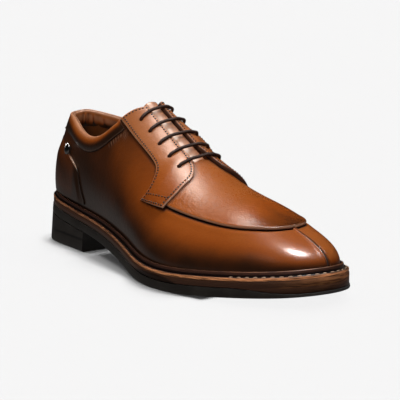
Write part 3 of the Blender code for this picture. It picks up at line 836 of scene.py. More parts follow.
def group_node(tree, name, inputs):
    """One of the shared node groups, placed in a material."""
    return add_node(tree, "ShaderNodeGroup", inputs, node_tree=bpy.data.node_groups[name])


def new_material(name):
    made = bpy.data.materials.new(name)
    made.use_nodes = True
    return made, made.node_tree, made.node_tree.nodes["Principled BSDF"]


def mark(tree, name):
    """Value that a mesh keeps at its points."""
    return add_node(tree, "ShaderNodeAttribute", attribute_name=name).outputs["Fac"]


def object_coords(tree):
    return add_node(tree, "ShaderNodeTexCoord").outputs["Object"]


def tinted(colour, share=1.0):
    """Opaque colour made darker or lighter."""
    return (*(share * c for c in colour[:3]), 1.0)


def calf(name, tan, brown, dark, coat, mottle=0.22, relief=0.00012, added_sheen=0.0):
    """Burnished calf that reads its mesh's marks of burnishing and shade, of edges and of seams.

    The first mark holds burnishing and painted shade, the edge mark pale cut edges and painted
    highlights, and the seam mark dark seams and painted shade. Its coat of polish stops at the
    seams, and added_sheen makes it smoother where the first mark is high.
    """
    made, tree, shader = new_material(name)
    where = object_coords(tree)
    burnish, edge, seam = (mark(tree, key) for key in ("burnish", "edge", "seam"))
    patina = group_node(tree, "calf_patina", {
        "Vector": where, "Tan": tan, "Brown": brown, "Dark": dark,
        "Burnish": burnish, "Edge": edge, "Seam": seam, "Mottle": mottle})
    pores = group_node(tree, "calf_grain", {"Vector": where, "Cells": 1500.0})
    rough = patina.outputs["Roughness"]
    fill(tree, shader, {
        "Base Color": patina.outputs["Color"],
        "Roughness": math_node(tree, "MULTIPLY_ADD", burnish, -added_sheen, rough),
        "Normal": bumped(tree, pores.outputs["Height"], 0.5, relief),
        "Specular IOR Level": 0.28,
        "Coat Weight": math_node(tree, "MULTIPLY_ADD", seam, -coat, coat),
        "Coat Roughness": 0.13,
    })
    return made


def lining_leather(name, colour, shade):
    """Soft vegetable-tanned lining with a fine nap."""
    made, tree, shader = new_material(name)
    where = object_coords(tree)
    pores = group_node(tree, "calf_grain", {"Vector": where, "Cells": 900.0})
    cloud = ramp(tree, noise(tree, where, 70.0, 5.0), 0.3, 0.75)
    fill(tree, shader, {
        "Base Color": mix_colour(tree, cloud, colour, shade),
        "Normal": bumped(tree, pores.outputs["Height"], 0.45, 0.00015),
        "Roughness": 0.52,
    })
    return made


def sole_leather(name, face, edge):
    """Sole leather: smooth and dark, with streaks of its fibre where the edge mark is, and painted
    shade where the seam mark is.
    """
    made, tree, shader = new_material(name)
    where = object_coords(tree)
    flat = add_node(tree, "ShaderNodeMapping", {"Vector": where, "Scale": (1.0, 1.0, 14.0)})
    fibre = noise(tree, flat.outputs[0], 95.0, 6.0)
    fine = noise(tree, where, 1400.0)
    cut = mark(tree, "edge")
    streak = ramp(tree, fibre, 0.32, 0.66)
    tone = mix_colour(tree, cut, face,
                      mix_colour(tree, streak, tinted(edge, 0.22), tinted(edge, 1.25)))
    height = math_node(tree, "MULTIPLY_ADD", fine, 0.4, fibre)
    height = math_node(tree, "MULTIPLY", height, math_node(tree, "MULTIPLY_ADD", cut, 0.8, 0.2))
    rough = math_node(tree, "MULTIPLY_ADD", fine, 0.1, 0.26)
    fill(tree, shader, {
        "Base Color": mix_colour(tree, mark(tree, "seam"), tone, WELT_PAINTED_SHADE),
        "Roughness": math_node(tree, "MULTIPLY_ADD", cut, 0.22, rough),
        "Normal": bumped(tree, height, 0.5, 0.0002),
        "Specular IOR Level": 0.16,
    })
    return made


def moulded_rubber(name, colour, worn):
    """Matt moulded rubber with a fine sanded edge."""
    made, tree, shader = new_material(name)
    where = object_coords(tree)
    dust = ramp(tree, noise(tree, where, 60.0, 6.0), 0.35, 0.8)
    sand = noise(tree, where, 2600.0)
    fill(tree, shader, {
        "Base Color": mix_colour(tree, dust, colour, worn),
        "Roughness": math_node(tree, "MULTIPLY_ADD", sand, 0.2, 0.42),
        "Normal": bumped(tree, sand, 0.3, 0.0001),
    })
    return made


def braided_lace(name, colour, wax):
    """Waxed round lace: a fine braid that follows the cord."""
    made, tree, shader = new_material(name)
    length = math_node(tree, "MULTIPLY", mark(tree, "length"), 3.6)
    turn = math_node(tree, "MULTIPLY", mark(tree, "turn"), 4.0)
    left = math_node(tree, "SINE", math_node(tree, "ADD", length, turn))
    right = math_node(tree, "SINE", math_node(tree, "SUBTRACT", length, turn))
    braid = math_node(tree, "MAXIMUM", left, right)
    fill(tree, shader, {
        "Base Color": mix_colour(tree, ramp(tree, braid, -0.2, 1.0), colour, wax),
        "Normal": bumped(tree, braid, 0.6, 0.00012),
        "Roughness": 0.62,
        "Specular IOR Level": 0.15,
    })
    return made


def twisted_thread(name, colour, shade):
    """Twisted thread: a fine noise raises its strands, and the darker shade colour goes where that
    noise is high.
    """
    made, tree, shader = new_material(name)
    strand = noise(tree, object_coords(tree), 3200.0)
    fill(tree, shader, {
        "Base Color": mix_colour(tree, ramp(tree, strand, 0.35, 0.7), colour, shade),
        "Normal": bumped(tree, strand, 0.5, 0.0001),
        "Roughness": 0.6,
    })
    return made


def stud_metal(name, colour):
    """Polished dark metal with a fine brushed break-up in its gloss."""
    made, tree, shader = new_material(name)
    brushed = noise(tree, object_coords(tree), 1800.0, 3.0)
    fill(tree, shader, {
        "Base Color": mix_colour(tree, brushed, colour, tinted(colour, 1.2)),
        "Roughness": math_node(tree, "MULTIPLY_ADD", brushed, 0.15, 0.12),
        "Metallic": 1.0,
    })
    return made


def matt_floor(name, colour):
    """Matt floor with a cloud in it that is hardly seen."""
    made, tree, shader = new_material(name)
    cloud = noise(tree, object_coords(tree), 3.0)
    fill(tree, shader, {
        "Base Color": mix_colour(tree, cloud, colour, tinted(colour, 1.004)),
        "Roughness": 0.9,
        "Specular IOR Level": 0.0,
    })
    return made


def stitch_tree():
    """Geometry nodes: thread stitches laid end to end along lines, each standing on its surface."""
    tree = bpy.data.node_groups.new("thread_stitches", "GeometryNodeTree")
    face = tree.interface
    face.new_socket("Lines", in_out="INPUT", socket_type="NodeSocketGeometry")
    for size in ("Pitch", "Length", "Width", "Height"):
        face.new_socket(size, in_out="INPUT", socket_type="NodeSocketFloat")
    face.new_socket("Thread", in_out="INPUT", socket_type="NodeSocketMaterial")
    face.new_socket("Stitches", in_out="OUTPUT", socket_type="NodeSocketGeometry")
    given = tree.nodes.new("NodeGroupInput").outputs
    line = add_node(tree, "GeometryNodeMeshToCurve", {"Mesh": given["Lines"]})
    spaced = add_node(tree, "GeometryNodeResampleCurve",
                      {"Curve": line.outputs[0], "Length": given["Pitch"]}, mode="LENGTH")
    bead = add_node(tree, "GeometryNodeMeshUVSphere", {"Segments": 8, "Rings": 6, "Radius": 0.5})
    tangent = add_node(tree, "GeometryNodeInputTangent")
    stand = add_node(tree, "GeometryNodeInputNamedAttribute", {"Name": "stand"},
                     data_type="FLOAT_VECTOR")
    along = add_node(tree, "FunctionNodeAlignRotationToVector", {"Vector": tangent.outputs[0]},
                     axis="X")
    upright = add_node(tree, "FunctionNodeAlignRotationToVector",
                       {"Rotation": along.outputs[0], "Vector": stand.outputs[0]},
                       axis="Z", pivot_axis="X")
    size = add_node(tree, "ShaderNodeCombineXYZ",
                    {"X": given["Length"], "Y": given["Width"], "Z": given["Height"]})
    rows = add_node(tree, "GeometryNodeInstanceOnPoints",
                    {"Points": spaced.outputs[0], "Instance": bead.outputs["Mesh"],
                     "Rotation": upright.outputs[0], "Scale": size.outputs[0]})
    real = add_node(tree, "GeometryNodeRealizeInstances", {"Geometry": rows.outputs[0]})
    dyed = add_node(tree, "GeometryNodeSetMaterial",
                    {"Geometry": real.outputs[0], "Material": given["Thread"]})
    fill(tree, tree.nodes.new("NodeGroupOutput"), {"Stitches": dyed.outputs[0]})
    return tree


def sew(name, lines, thread, pitch, length, width, height):
    """Piece of stitches along lines of (points, normals), sized in metres."""
    points = []
    normals = []
    edges = []
    for line, stand in lines:
        first = len(points)
        points.extend(place(line).tolist())
        normals.extend(np.asarray(stand).tolist())
        edges.extend((first + i, first + i + 1) for i in range(len(line) - 1))
    mesh = bpy.data.meshes.new(name + "_lines")
    mesh.from_pydata(points, edges, [])
    layer = mesh.attributes.new("stand", "FLOAT_VECTOR", "POINT")
    layer.data.foreach_set("vector", np.asarray(normals, np.float32).ravel())
    drawn = new_object(name + "_lines", mesh)
    tree = bpy.data.node_groups.get("thread_stitches") or stitch_tree()
    rows = drawn.modifiers.new("Stitches", "NODES")
    rows.node_group = tree
    sockets = {item.name: item.identifier for item in tree.interface.items_tree
               if item.in_out == "INPUT"}
    for key, value in (("Pitch", pitch), ("Length", length), ("Width", width),
                       ("Height", height), ("Thread", finish(thread))):
        rows[sockets[key]] = value
    sewn = baked(drawn)
    sewn.name = name
    return add_piece(name, sewn, [thread])


# Settings that a user would change
def colour_setting(name, description, default):
    return bpy.props.FloatVectorProperty(name=name, description=description, default=default,
                                         size=3, subtype="COLOR", min=0.0, max=1.0)


def size_setting(name, description, millimetres):
    return bpy.props.FloatProperty(name=name, description=description, default=millimetres * MM,
                                   min=0.05 * MM, max=30.0 * MM, precision=5,
                                   subtype="DISTANCE", unit="LENGTH")


class DerbySizes(bpy.types.PropertyGroup):
    """Sizes of the sewing and laces."""
    facing_pitch: size_setting("Facing pitch", "From stitch to stitch on the facings", 2.5)
    facing_stitch: size_setting("Facing stitch", "Length of a stitch on the facings", 1.55)
    facing_thread: size_setting("Facing thread", "Width of the facings' thread", 1.25)
    facing_rise: size_setting("Facing rise", "Height of a stitch on the facings", 0.9)
    welt_pitch: size_setting("Welt pitch", "From stitch to stitch on the welt", 5.4)
    welt_stitch: size_setting("Welt stitch", "Length of a stitch on the welt", 3.1)
    welt_thread: size_setting("Welt thread", "Width of the welt's thread", 1.0)
    welt_rise: size_setting("Welt rise", "Height of a stitch on the welt", 0.8)
    lace_radius: size_setting("Lace radius", "Half the thickness of the round lace", 1.2)
    eyelet_radius: size_setting("Eyelet radius", "Half the width of a punched lace hole", 1.7)
    stitch_inset: size_setting("Stitch inset", "From a row of stitches to its edge", 2.1)


class DerbyColours(bpy.types.PropertyGroup):
    """Dyes and finishes."""
    tan: colour_setting("Tan", "Lightest dye, on the facings and collar", (0.45, 0.122, 0.020))
    brown: colour_setting("Brown", "Main dye of the vamp", (0.38, 0.080, 0.007))
    # dark is the deepest tone of both the burnishing and the painted shade
    dark: colour_setting("Burnish", "Darkest burnish at heel and welt", (0.032, 0.013, 0.006))
    lining: colour_setting("Lining", "Lining leather", (0.19, 0.060, 0.015))
    lining_shade: colour_setting("Lining shade", "Darker cloud in the lining",
                                 (0.11, 0.034, 0.009))
    welt: colour_setting("Welt", "Rib and top of the storm welt", (0.036, 0.015, 0.010))
    welt_edge: colour_setting("Welt edge", "Pale cut edge of the welt", (0.46, 0.185, 0.078))
    midsole: colour_setting("Midsole", "Blackened edge of the midsole", (0.080, 0.036, 0.022))
    midsole_edge: colour_setting("Midsole toe", "Brown edge of the midsole round the toe",
                                 (0.46, 0.18, 0.070))
    rubber: colour_setting("Rubber", "Outsole and heel", (0.022, 0.018, 0.015))
    rubber_worn: colour_setting("Sanded rubber", "Paler dust on the rubber",
                                (0.040, 0.034, 0.029))
    lace: colour_setting("Lace", "Waxed lace", (0.032, 0.013, 0.008))
    lace_wax: colour_setting("Lace wax", "Paler strands of the lace", (0.062, 0.026, 0.016))
    thread: colour_setting("Thread", "Dark thread of the facings", (0.012, 0.006, 0.004))
    thread_shade: colour_setting("Thread shade", "Valleys of the facings' thread",
                                 (0.008, 0.004, 0.003))
    welt_thread: colour_setting("Welt thread", "Pale thread of the welt", (0.62, 0.42, 0.27))
    welt_thread_shade: colour_setting("Welt thread shade", "Valleys of the welt's thread",
                                      (0.42, 0.26, 0.15))
    stud: colour_setting("Stud", "Polished metal of the stud", (0.24, 0.23, 0.225))
    floor: colour_setting("Floor", "Studio floor, which its own suns make pale",
                          (0.15, 0.15, 0.15))


def settings():
    scene = bpy.context.scene
    return scene.derby_sizes, scene.derby_colours


# Finishes: what makes each, the dyes that it takes, and its own values
CALF_DYES = ("tan", "brown", "dark")
FINISHES = {
    "burnished_calf": (calf, CALF_DYES, {"coat": 0.5}),
    "apron_calf": (calf, CALF_DYES,
                   {"coat": 0.2, "mottle": 0.3, "relief": 0.0003, "added_sheen": 0.24}),
    "facing_calf": (calf, CALF_DYES, {"coat": 0.34, "mottle": 0.34, "relief": 0.00022}),
    "counter_calf": (calf, CALF_DYES, {"coat": 0.35}),
    "collar_calf": (calf, CALF_DYES, {"coat": 0.12, "relief": 0.00018}),
    "tongue_calf": (calf, CALF_DYES, {"coat": 1.0}),
    "lining_calf": (lining_leather, ("lining", "lining_shade"), {}),
    "fibrous_welt": (sole_leather, ("welt", "welt_edge"), {}),
    "fibrous_midsole": (sole_leather, ("midsole", "midsole_edge"), {}),
    "sanded_rubber": (moulded_rubber, ("rubber", "rubber_worn"), {}),
    "waxed_braid": (braided_lace, ("lace", "lace_wax"), {}),
    "facing_thread": (twisted_thread, ("thread", "thread_shade"), {}),
    "welt_thread": (twisted_thread, ("welt_thread", "welt_thread_shade"), {}),
    "polished_stud": (stud_metal, ("stud",), {}),
    "pale_floor": (matt_floor, ("floor",), {}),
}


def finish(name):
    """One of the shoe's materials, made when it is first asked for."""
    if name in bpy.data.materials:
        return bpy.data.materials[name]
    if "calf_patina" not in bpy.data.node_groups:
        patina_group()
        grain_group()
    _, dye = settings()
    maker, dyes, values = FINISHES[name]
    return maker(name, *(tinted(getattr(dye, key)) for key in dyes), **values)


# Vamp and quarters
def collar_front(station):
    """How far the collar has turned down toward its front end, from 0 to 1."""
    return (station / COLLAR_END) ** COLLAR_TURN


def collar_tall(turn):
    """Height of the collar where it has turned down so far."""
    return (1 - COLLAR_NARROWS * turn) * COLLAR_HEIGHT


def collar_drop(side, along, up):
    """Millimetres below the collar's lower seam."""
    station = np.linspace(0.0, COLLAR_END, 120)
    turn = collar_front(station)
    edge = upper_edge(side, station)
    tall = collar_tall(turn) / climb_rate(side, station, np.minimum(edge, 0.95))
    seam = np.interp(along, station + COLLAR_SLANT * turn, edge - tall)
    return (seam - up) * climb_rate(side, along, up)


def gathers(side, along, up):
    """Short parallel gathers below the front end of the collar, -1 in a valley and 1 on a crest."""
    drop = collar_drop(side, along, up)
    place_in = smooth(0.326, 0.342, along) * smooth(0.396, 0.384, along) * hump(drop, 2.6, 2.8)
    run = along * side_length(side) - 0.5 * drop
    return place_in * np.cos(2 * math.pi * run / GATHER_PITCH)


def apron_line(along):
    """Share up the wall of the apron's edge, level behind its start."""
    return apron_edge(np.clip(along, APRON_EDGE[0][0], 1.0))


def below_apron(side, along, up):
    """Millimetres below the apron's edge."""
    return (apron_line(along) - up) * climb_rate(side, along, up)


def upper_relief(side, along, up):
    """How far the finished leather stands off the last: seam troughs, gathers and soft creases."""
    below = below_apron(side, along, up)
    front = smooth(0.74, 0.90, along)
    swell = (0.35 - 0.24 * front) * hump(below, 4.0 - 1.4 * front, 2.2 - 0.9 * front)
    relief = smooth(*VAMP_START, along) * (swell - 0.8 * hump(below, 0.0, 1.1))
    from_toe = (1 - along) * side_length(side)
    on_seam = smooth(0.03, 0.12, up) * smooth(0.93, 0.84, up)
    relief = relief + on_seam * 0.30 * hump(from_toe, 2.8, 2.2)
    relief = relief + 0.35 * gathers(side, along, up)
    relief = relief - 0.5 * hump(along, 0.30, 0.05) * hump(up, 0.30, 0.10)
    # creases at the ball: depth, slant, place along the side, heights between which they fade
    for depth, slant, centre, top, full in (
        (0.09, 0.25, 0.635, 0.50, 0.36),
        (0.06, 0.20, 0.672, 0.46, 0.32),
    ):
        crease = hump(along - slant * (up - 0.3), centre, 0.012)
        relief = relief - depth * (crease * smooth(0.05, 0.2, up) * smooth(top, full, up))
    return relief


def upper_burnish(side, along, up):
    """Hand-burnished finish: dark along the welt and round the heel, with a warm middle."""
    at_toe = smooth(0.82, 0.95, along)
    low = smooth(0.46 - 0.20 * at_toe, 0.08 - 0.04 * at_toe, up)
    heel = smooth(0.65, 0.21, along - 0.10 * smooth(0.3, 0.7, up))
    shade = 1 - (1 - 0.90 * low) * (1 - 0.78 * heel)
    lighter = 0.16 * at_toe if side == MEDIAL else 0.0
    return np.clip(0.32 - lighter + (0.68 + lighter) * shade, 0.0, 1.0)


def upper_painted_shade(side, along, up):
    """Painted shade: the dark shadow line under the apron's lapped edge, and the dark band at the
    foot of the upper above the welt.
    """
    below = below_apron(side, along, up)
    wide = 2.6 - 1.5 * smooth(0.68, 0.86, along)
    groove = smooth(wide, 0.3 * wide, below) * smooth(-6.0, -1.0, below)
    foot = 0.85 * smooth(0.05, 0.0, up)
    return np.clip(np.maximum(smooth(*VAMP_START, along) * groove, foot), 0.0, 1.0)


def facing_shadow(points, reach):
    """Painted shadow on the leather just outside a facing's cut edge: 1 at the edge, 0 at the
    reach.
    """
    t = np.linspace(0.0, 1.0, 120)
    zero = 0 * t
    edges = ((t, zero), (t, zero + 1), (zero, t), (zero + 1, t))
    spots = np.concatenate([wall(side, *facing_spot(side, u, v))
                            for side in (LATERAL, MEDIAL) for u, v in edges])
    tree = kdtree.KDTree(len(spots))
    for number, spot in enumerate(spots):
        tree.insert(spot, number)
    tree.balance()
    away = np.array([tree.find(spot)[2] for spot in points.reshape(-1, 3)])
    return smooth(reach, 0.25 * reach, away.reshape(points.shape[:-1]))


def upper_half(side, stations):
    """Points and marks of one side of the upper, from its tuck under the welt to its top edge."""
    edge = upper_edge(side, stations)
    line = np.minimum(apron_line(stations), edge - 0.08)
    low = line - SEAM_BAND
    high = line + SEAM_BAND_OVER * SEAM_BAND

    def rows(count, first, last):
        return first[:, None] + np.linspace(0.0, 1.0, count + 1)[None] * (last - first)[:, None]

    up = np.concatenate([rows(27, 0 * line, low)[:, :-1], rows(22, low, high)[:, :-1],
                         rows(14, high, edge)], axis=1)
    along = np.broadcast_to(stations[:, None], up.shape)
    points = skin(side, along, up, upper_relief(side, along, up))
    tuck = points[:, :1] - np.array([0.0, 0.0, WELT_THICK - 0.2])
    folds = gathers(side, along, up)
    # the seam mark holds painted shadows under the apron's edge, above the welt and just outside
    # the facings; the gathers get painted shade in their valleys and a painted highlight on their
    # crests
    seam = np.maximum(upper_painted_shade(side, along, up), 0.85 * facing_shadow(points, 1.9))
    marks = {
        "burnish": upper_burnish(side, along, up),
        "seam": np.maximum(seam, 0.5 * np.clip(-folds, 0.0, 1.0)),
        "edge": 0.34 * np.clip(folds, 0.0, 1.0),
    }
    marks = {key: np.concatenate([value[:, :1], value], axis=1) for key, value in marks.items()}
    return np.concatenate([tuck, points], axis=1), marks


class DERBY_OT_upper(bpy.types.Operator):
    """Makes the vamp sides and quarters as one hollow leather wall with its lining face"""
    bl_idname = "derby.upper"
    bl_label = "Vamp and quarters"

    def execute(self, context):
        stations = np.unique(np.concatenate([
            np.linspace(0.0, COLLAR_END, 72),
            np.linspace(0.324, 0.398, 84),
            np.linspace(COLLAR_END, THROAT_END, 54),
            [THROAT_END + 0.004],
            np.linspace(0.570, 0.975, 118),
            1.0 - np.linspace(0.025, 0.0, 24),
        ]))
        lateral, lateral_marks = upper_half(LATERAL, stations)
        medial, medial_marks = upper_half(MEDIAL, stations)
        marks = {key: round_toe(lateral_marks[key], medial_marks[key]) for key in lateral_marks}
        mesh = weld(grid_mesh("vamp_and_quarters", round_toe(lateral, medial), marks))
        face_outward(mesh)
        finishes = ("burnished_calf", "lining_calf")
        for name in finishes:
            mesh.materials.append(finish(name))
        shell = new_object("vamp_shell", mesh)
        solid = shell.modifiers.new("Wall", "SOLIDIFY")
        solid.thickness = WALL * MM
        solid.offset = -1.0
        solid.use_quality_normals = True
        solid.material_offset = 1
        punch_eyelets(shell, (LATERAL, MEDIAL))
        add_piece("vamp_and_quarters", baked(shell), finishes, ["upper"], sharp=50)
        remove_cutters()
        return {"FINISHED"}


def side_scale(side):
    """How much higher up the wall the facing and its lace holes lie on this side."""
    return 1.0 if side == LATERAL else MEDIAL_UP


def punch_eyelets(obj, sides):
    """Cuts the lace holes of these sides through a piece."""
    sizes, _ = settings()
    radius = sizes.eyelet_radius
    for side in sides:
        along = np.array(EYELETS)
        up = np.full_like(along, EYELET_UP * side_scale(side))
        starts, ends = (place(skin(side, along, up, out)) for out in EYELET_PUNCH)
        bm = bmesh.new()
        for start, end in zip(starts, ends):
            made = bmesh.ops.create_cone(bm, cap_ends=True, segments=20, radius1=radius,
                                         radius2=radius, depth=float(np.linalg.norm(end - start)))
            aim = Vector(end - start).to_track_quat("Z", "Y").to_matrix().to_4x4()
            aim.translation = Vector((start + end) / 2)
            bmesh.ops.transform(bm, matrix=aim, verts=made["verts"])
        mesh = bpy.data.meshes.new("eyelet_cutter")
        bm.to_mesh(mesh)
        bm.free()
        cutter = new_object("eyelet_cutter", mesh)
        cutter.hide_render = True
        cut = obj.modifiers.new("Eyelets", "BOOLEAN")
        cut.operation = "DIFFERENCE"
        cut.solver = "EXACT"
        cut.object = cutter


def remove_cutters():
    for obj in [o for o in bpy.data.objects if o.name.startswith("eyelet_cutter")]:
        bpy.data.objects.remove(obj, do_unlink=True)


# Overlays
def rounded(distance, radius, foot):
    """Share of an overlay's thickness at a distance from its cut edge, where it is the foot."""
    t = np.clip(distance / radius, 0.0, 1.0)
    return foot + (1 - foot) * np.sqrt(np.clip(1 - (1 - t) ** 2, 0.0, 1.0))


class DERBY_OT_apron(bpy.types.Operator):
    """Makes the raised apron, lapped over the vamp sides"""
    bl_idname = "derby.apron"
    bl_label = "Apron"

    def execute(self, context):
        columns = np.concatenate([np.linspace(APRON_START, 0.97, 120),
                                  1.0 - np.linspace(0.0275, 0.0, 16)])
        half = edged(26, 60.0, 2.4)[:31]
        half = half / half[-1]
        rows = np.concatenate([half - 1.0, (1.0 - half)[-2::-1]])

        def spot(along, across):
            return 1 - np.abs(across) * (1 - apron_edge(along))

        def inside(along, across):
            """Millimetres in from the lapped edge."""
            rate = rate_across(across, along, spot(along, across))
            return (1 - np.abs(across)) * (1 - apron_edge(along)) * rate

        def front(along, across):
            depth = inside(along, across)
            lap = 0.22 * hump(depth, 1.3, 1.4)
            out = GAP + OVERLAY * rounded(depth, 1.0, 0.35) + lap
            return skin_across(across, along, spot(along, across), out)

        def back(along, across):
            return skin_across(across, along, spot(along, across), 0.1)

        # darker toward the toe, as burnishing and as painted shade on the apron's front, and darker
        # along the lapped edge
        def burnish(along, across):
            rim = 0.13 * smooth(26.0, 2.0, inside(along, across))
            return np.clip(0.14 + 0.50 * smooth(0.66, 0.95, along) + rim, 0.0, 1.0)

        # edge is a painted highlight along the lapped edge, and seam the facings' painted shadow on
        # the apron
        marks = {
            "burnish": burnish,
            "edge": lambda along, across: 0.7 * smooth(1.0, 0.2, inside(along, across)),
            "seam": lambda along, across: 0.85 * facing_shadow(front(along, across), 3.3),
        }
        mesh = slab_mesh("apron_panel", columns, rows, front, back, marks, open_sides=("end",))
        add_piece("apron_panel", mesh, ["apron_calf"], ["apron"], sharp=60)
        return {"FINISHED"}


class DERBY_OT_toe_seam(bpy.types.Operator):
    """Makes the split toe's raised seam: two lips with a dark groove between them"""
    bl_idname = "derby.toe_seam"
    bl_label = "Split toe seam"

    def execute(self, context):
        columns = np.linspace(0.03, 0.862, 110)
        rows = np.linspace(-1.0, 1.0, 33)

        def aside(across):
            """Millimetres from the middle of the seam."""
            return np.abs(across) * TOE_SEAM_HALF

        def run(up, across, out):
            along = both_sides(across, lambda side: 1 - aside(across) / side_length(side))
            return skin_across(across, along, up, out)

        def front(up, across):
            away = aside(across)
            fade = 0.25 + 0.75 * smooth(0.03, 0.16, up)
            tall = np.where(across < 0, 0.35 + 0.30 * smooth(0.6, 0.2, up), 0.95)
            ridge = hump(away, TOE_SEAM_LIP, np.where(away < TOE_SEAM_LIP, 0.36, 0.9))
            return run(up, across, 0.12 + tall * ridge * fade)

        # lit paints highlights on the lips, and groove paints shade down the seam's middle
        def lit(up, across):
            near = smooth(0.75, 0.5, up) * smooth(0.12, 0.3, up)
            shown = np.where(across > 0, smooth(0.15, 0.45, up), near)
            return 0.3 * shown * hump(aside(across), TOE_SEAM_LIP + 0.1, 0.28)

        def groove(up, across):
            return smooth(1.05, 0.65, aside(across)) * (0.6 + 0.4 * smooth(0.06, 0.28, up))

        marks = {
            "burnish": lambda up, across: 0.40 + 0.45 * smooth(0.4, 0.05, up),
            "edge": lit,
            "seam": groove,
        }
        mesh = slab_mesh("split_toe_seam", columns, rows, front,
                         lambda up, across: run(up, across, -0.1), marks)
        add_piece("split_toe_seam", mesh, ["burnished_calf"], ["toe_seam"],
                  sharp=60)
        return {"FINISHED"}


def eyestay_lift(along):
    """Clearance under the eyestay, which climbs onto the apron toward the toe."""
    climb = np.clip((along - 0.512) / 0.04, 0.0, 1.0)
    return GAP + (OVERLAY + GAP) * climb ** 2 * (3 - 2 * climb)


def eyestay_edges():
    """Back and front edge of the eyestay by share from its top to its foot."""
    rows = np.array(EYESTAY)
    knots = run_length(rows[:, 2:] * FACING_SPAN)
    return spline(knots / knots[-1], rows)


EDGES = eyestay_edges()


def facing_spot(side, u, v):
    """Shares along and up on the facing: u from its top to its foot, v from back to front."""
    row = EDGES(u)
    along = row[..., 0] + (row[..., 2] - row[..., 0]) * v
    return along, side_scale(side) * (row[..., 1] + (row[..., 3] - row[..., 1]) * v)


def facing_width(side, u):
    """Millimetres from the facing's back edge to its front edge."""
    u, shares = np.broadcast_arrays(np.asarray(u)[..., None], np.linspace(0.0, 1.0, 9))
    along, up = facing_spot(side, u, shares)
    return np.linalg.norm(np.diff(wall(side, along, up), axis=-2), axis=-1).sum(-1)


def facing_inside(side, u, v):
    """Millimetres in from the nearest edge of the facing."""
    width = facing_width(side, u[:, 0])[:, None]
    return np.minimum(np.minimum(v, 1 - v) * width, np.minimum(u, 1 - u) * FACING_LENGTH)


def facing_thick(side, v):
    """Thickness of a facing: the medial one lies fuller toward the throat."""
    return OVERLAY + (0.0 if side == LATERAL else MEDIAL_FULL) * smooth(0.3, 0.8, v)


def facing_mesh(name, side):
    """One facing with rounded edges, before its lace holes are punched."""
    # the lateral facing has a pale cut edge that is also a painted highlight, and the medial one a
    # painted shadow line toward the throat
    pale, dark = (1.0, 0.0) if side == LATERAL else (0.1, 0.85)

    def front(u, v):
        along, up = facing_spot(side, u, v)
        depth = facing_inside(side, u, v)
        full = facing_thick(side, v) * rounded(depth, 0.75, 0.45)
        return skin(side, along, up, eyestay_lift(along) + full - 0.12 * hump(depth, 2.1, 0.7))

    def back(u, v):
        along, up = facing_spot(side, u, v)
        return skin(side, along, up, eyestay_lift(along) - 0.2)

    def burnish(u, v):
        return np.clip(0.01 + 0.48 * smooth(0.35, 1.0, u) + 0.07 * smooth(0.45, 0.0, v), 0.0, 1.0)

    def lip(u, v):
        # painted light on the facing's upper part
        added_sheen = 0.14 * smooth(0.62, 0.25, u)
        return np.maximum(pale * smooth(0.75, 0.2, facing_inside(side, u, v)), added_sheen)

    def line(u, v):
        return dark * smooth(0.9, 0.3, facing_inside(side, u, v)) * smooth(0.3, 0.6, v)

    return slab_mesh(name, edged(110, FACING_LENGTH, 1.6), edged(30, 30.0, 1.6), front, back,
                     {"burnish": burnish, "edge": lip, "seam": line})


class DERBY_OT_facings(bpy.types.Operator):
    """Makes both facings with rounded edges and punched lace holes"""
    bl_idname = "derby.facings"
    bl_label = "Facings"

    def execute(self, context):
        for side, word in SIDES:
            mesh = facing_mesh("facing_" + word, side)
            mesh.materials.append(finish("facing_calf"))
            shell = new_object("facing_shell", mesh)
            punch_eyelets(shell, (side,))
            add_piece("facing_" + word, baked(shell), ["facing_calf"],
                      ["eyestay_" + word], sharp=60)
            remove_cutters()
        return {"FINISHED"}


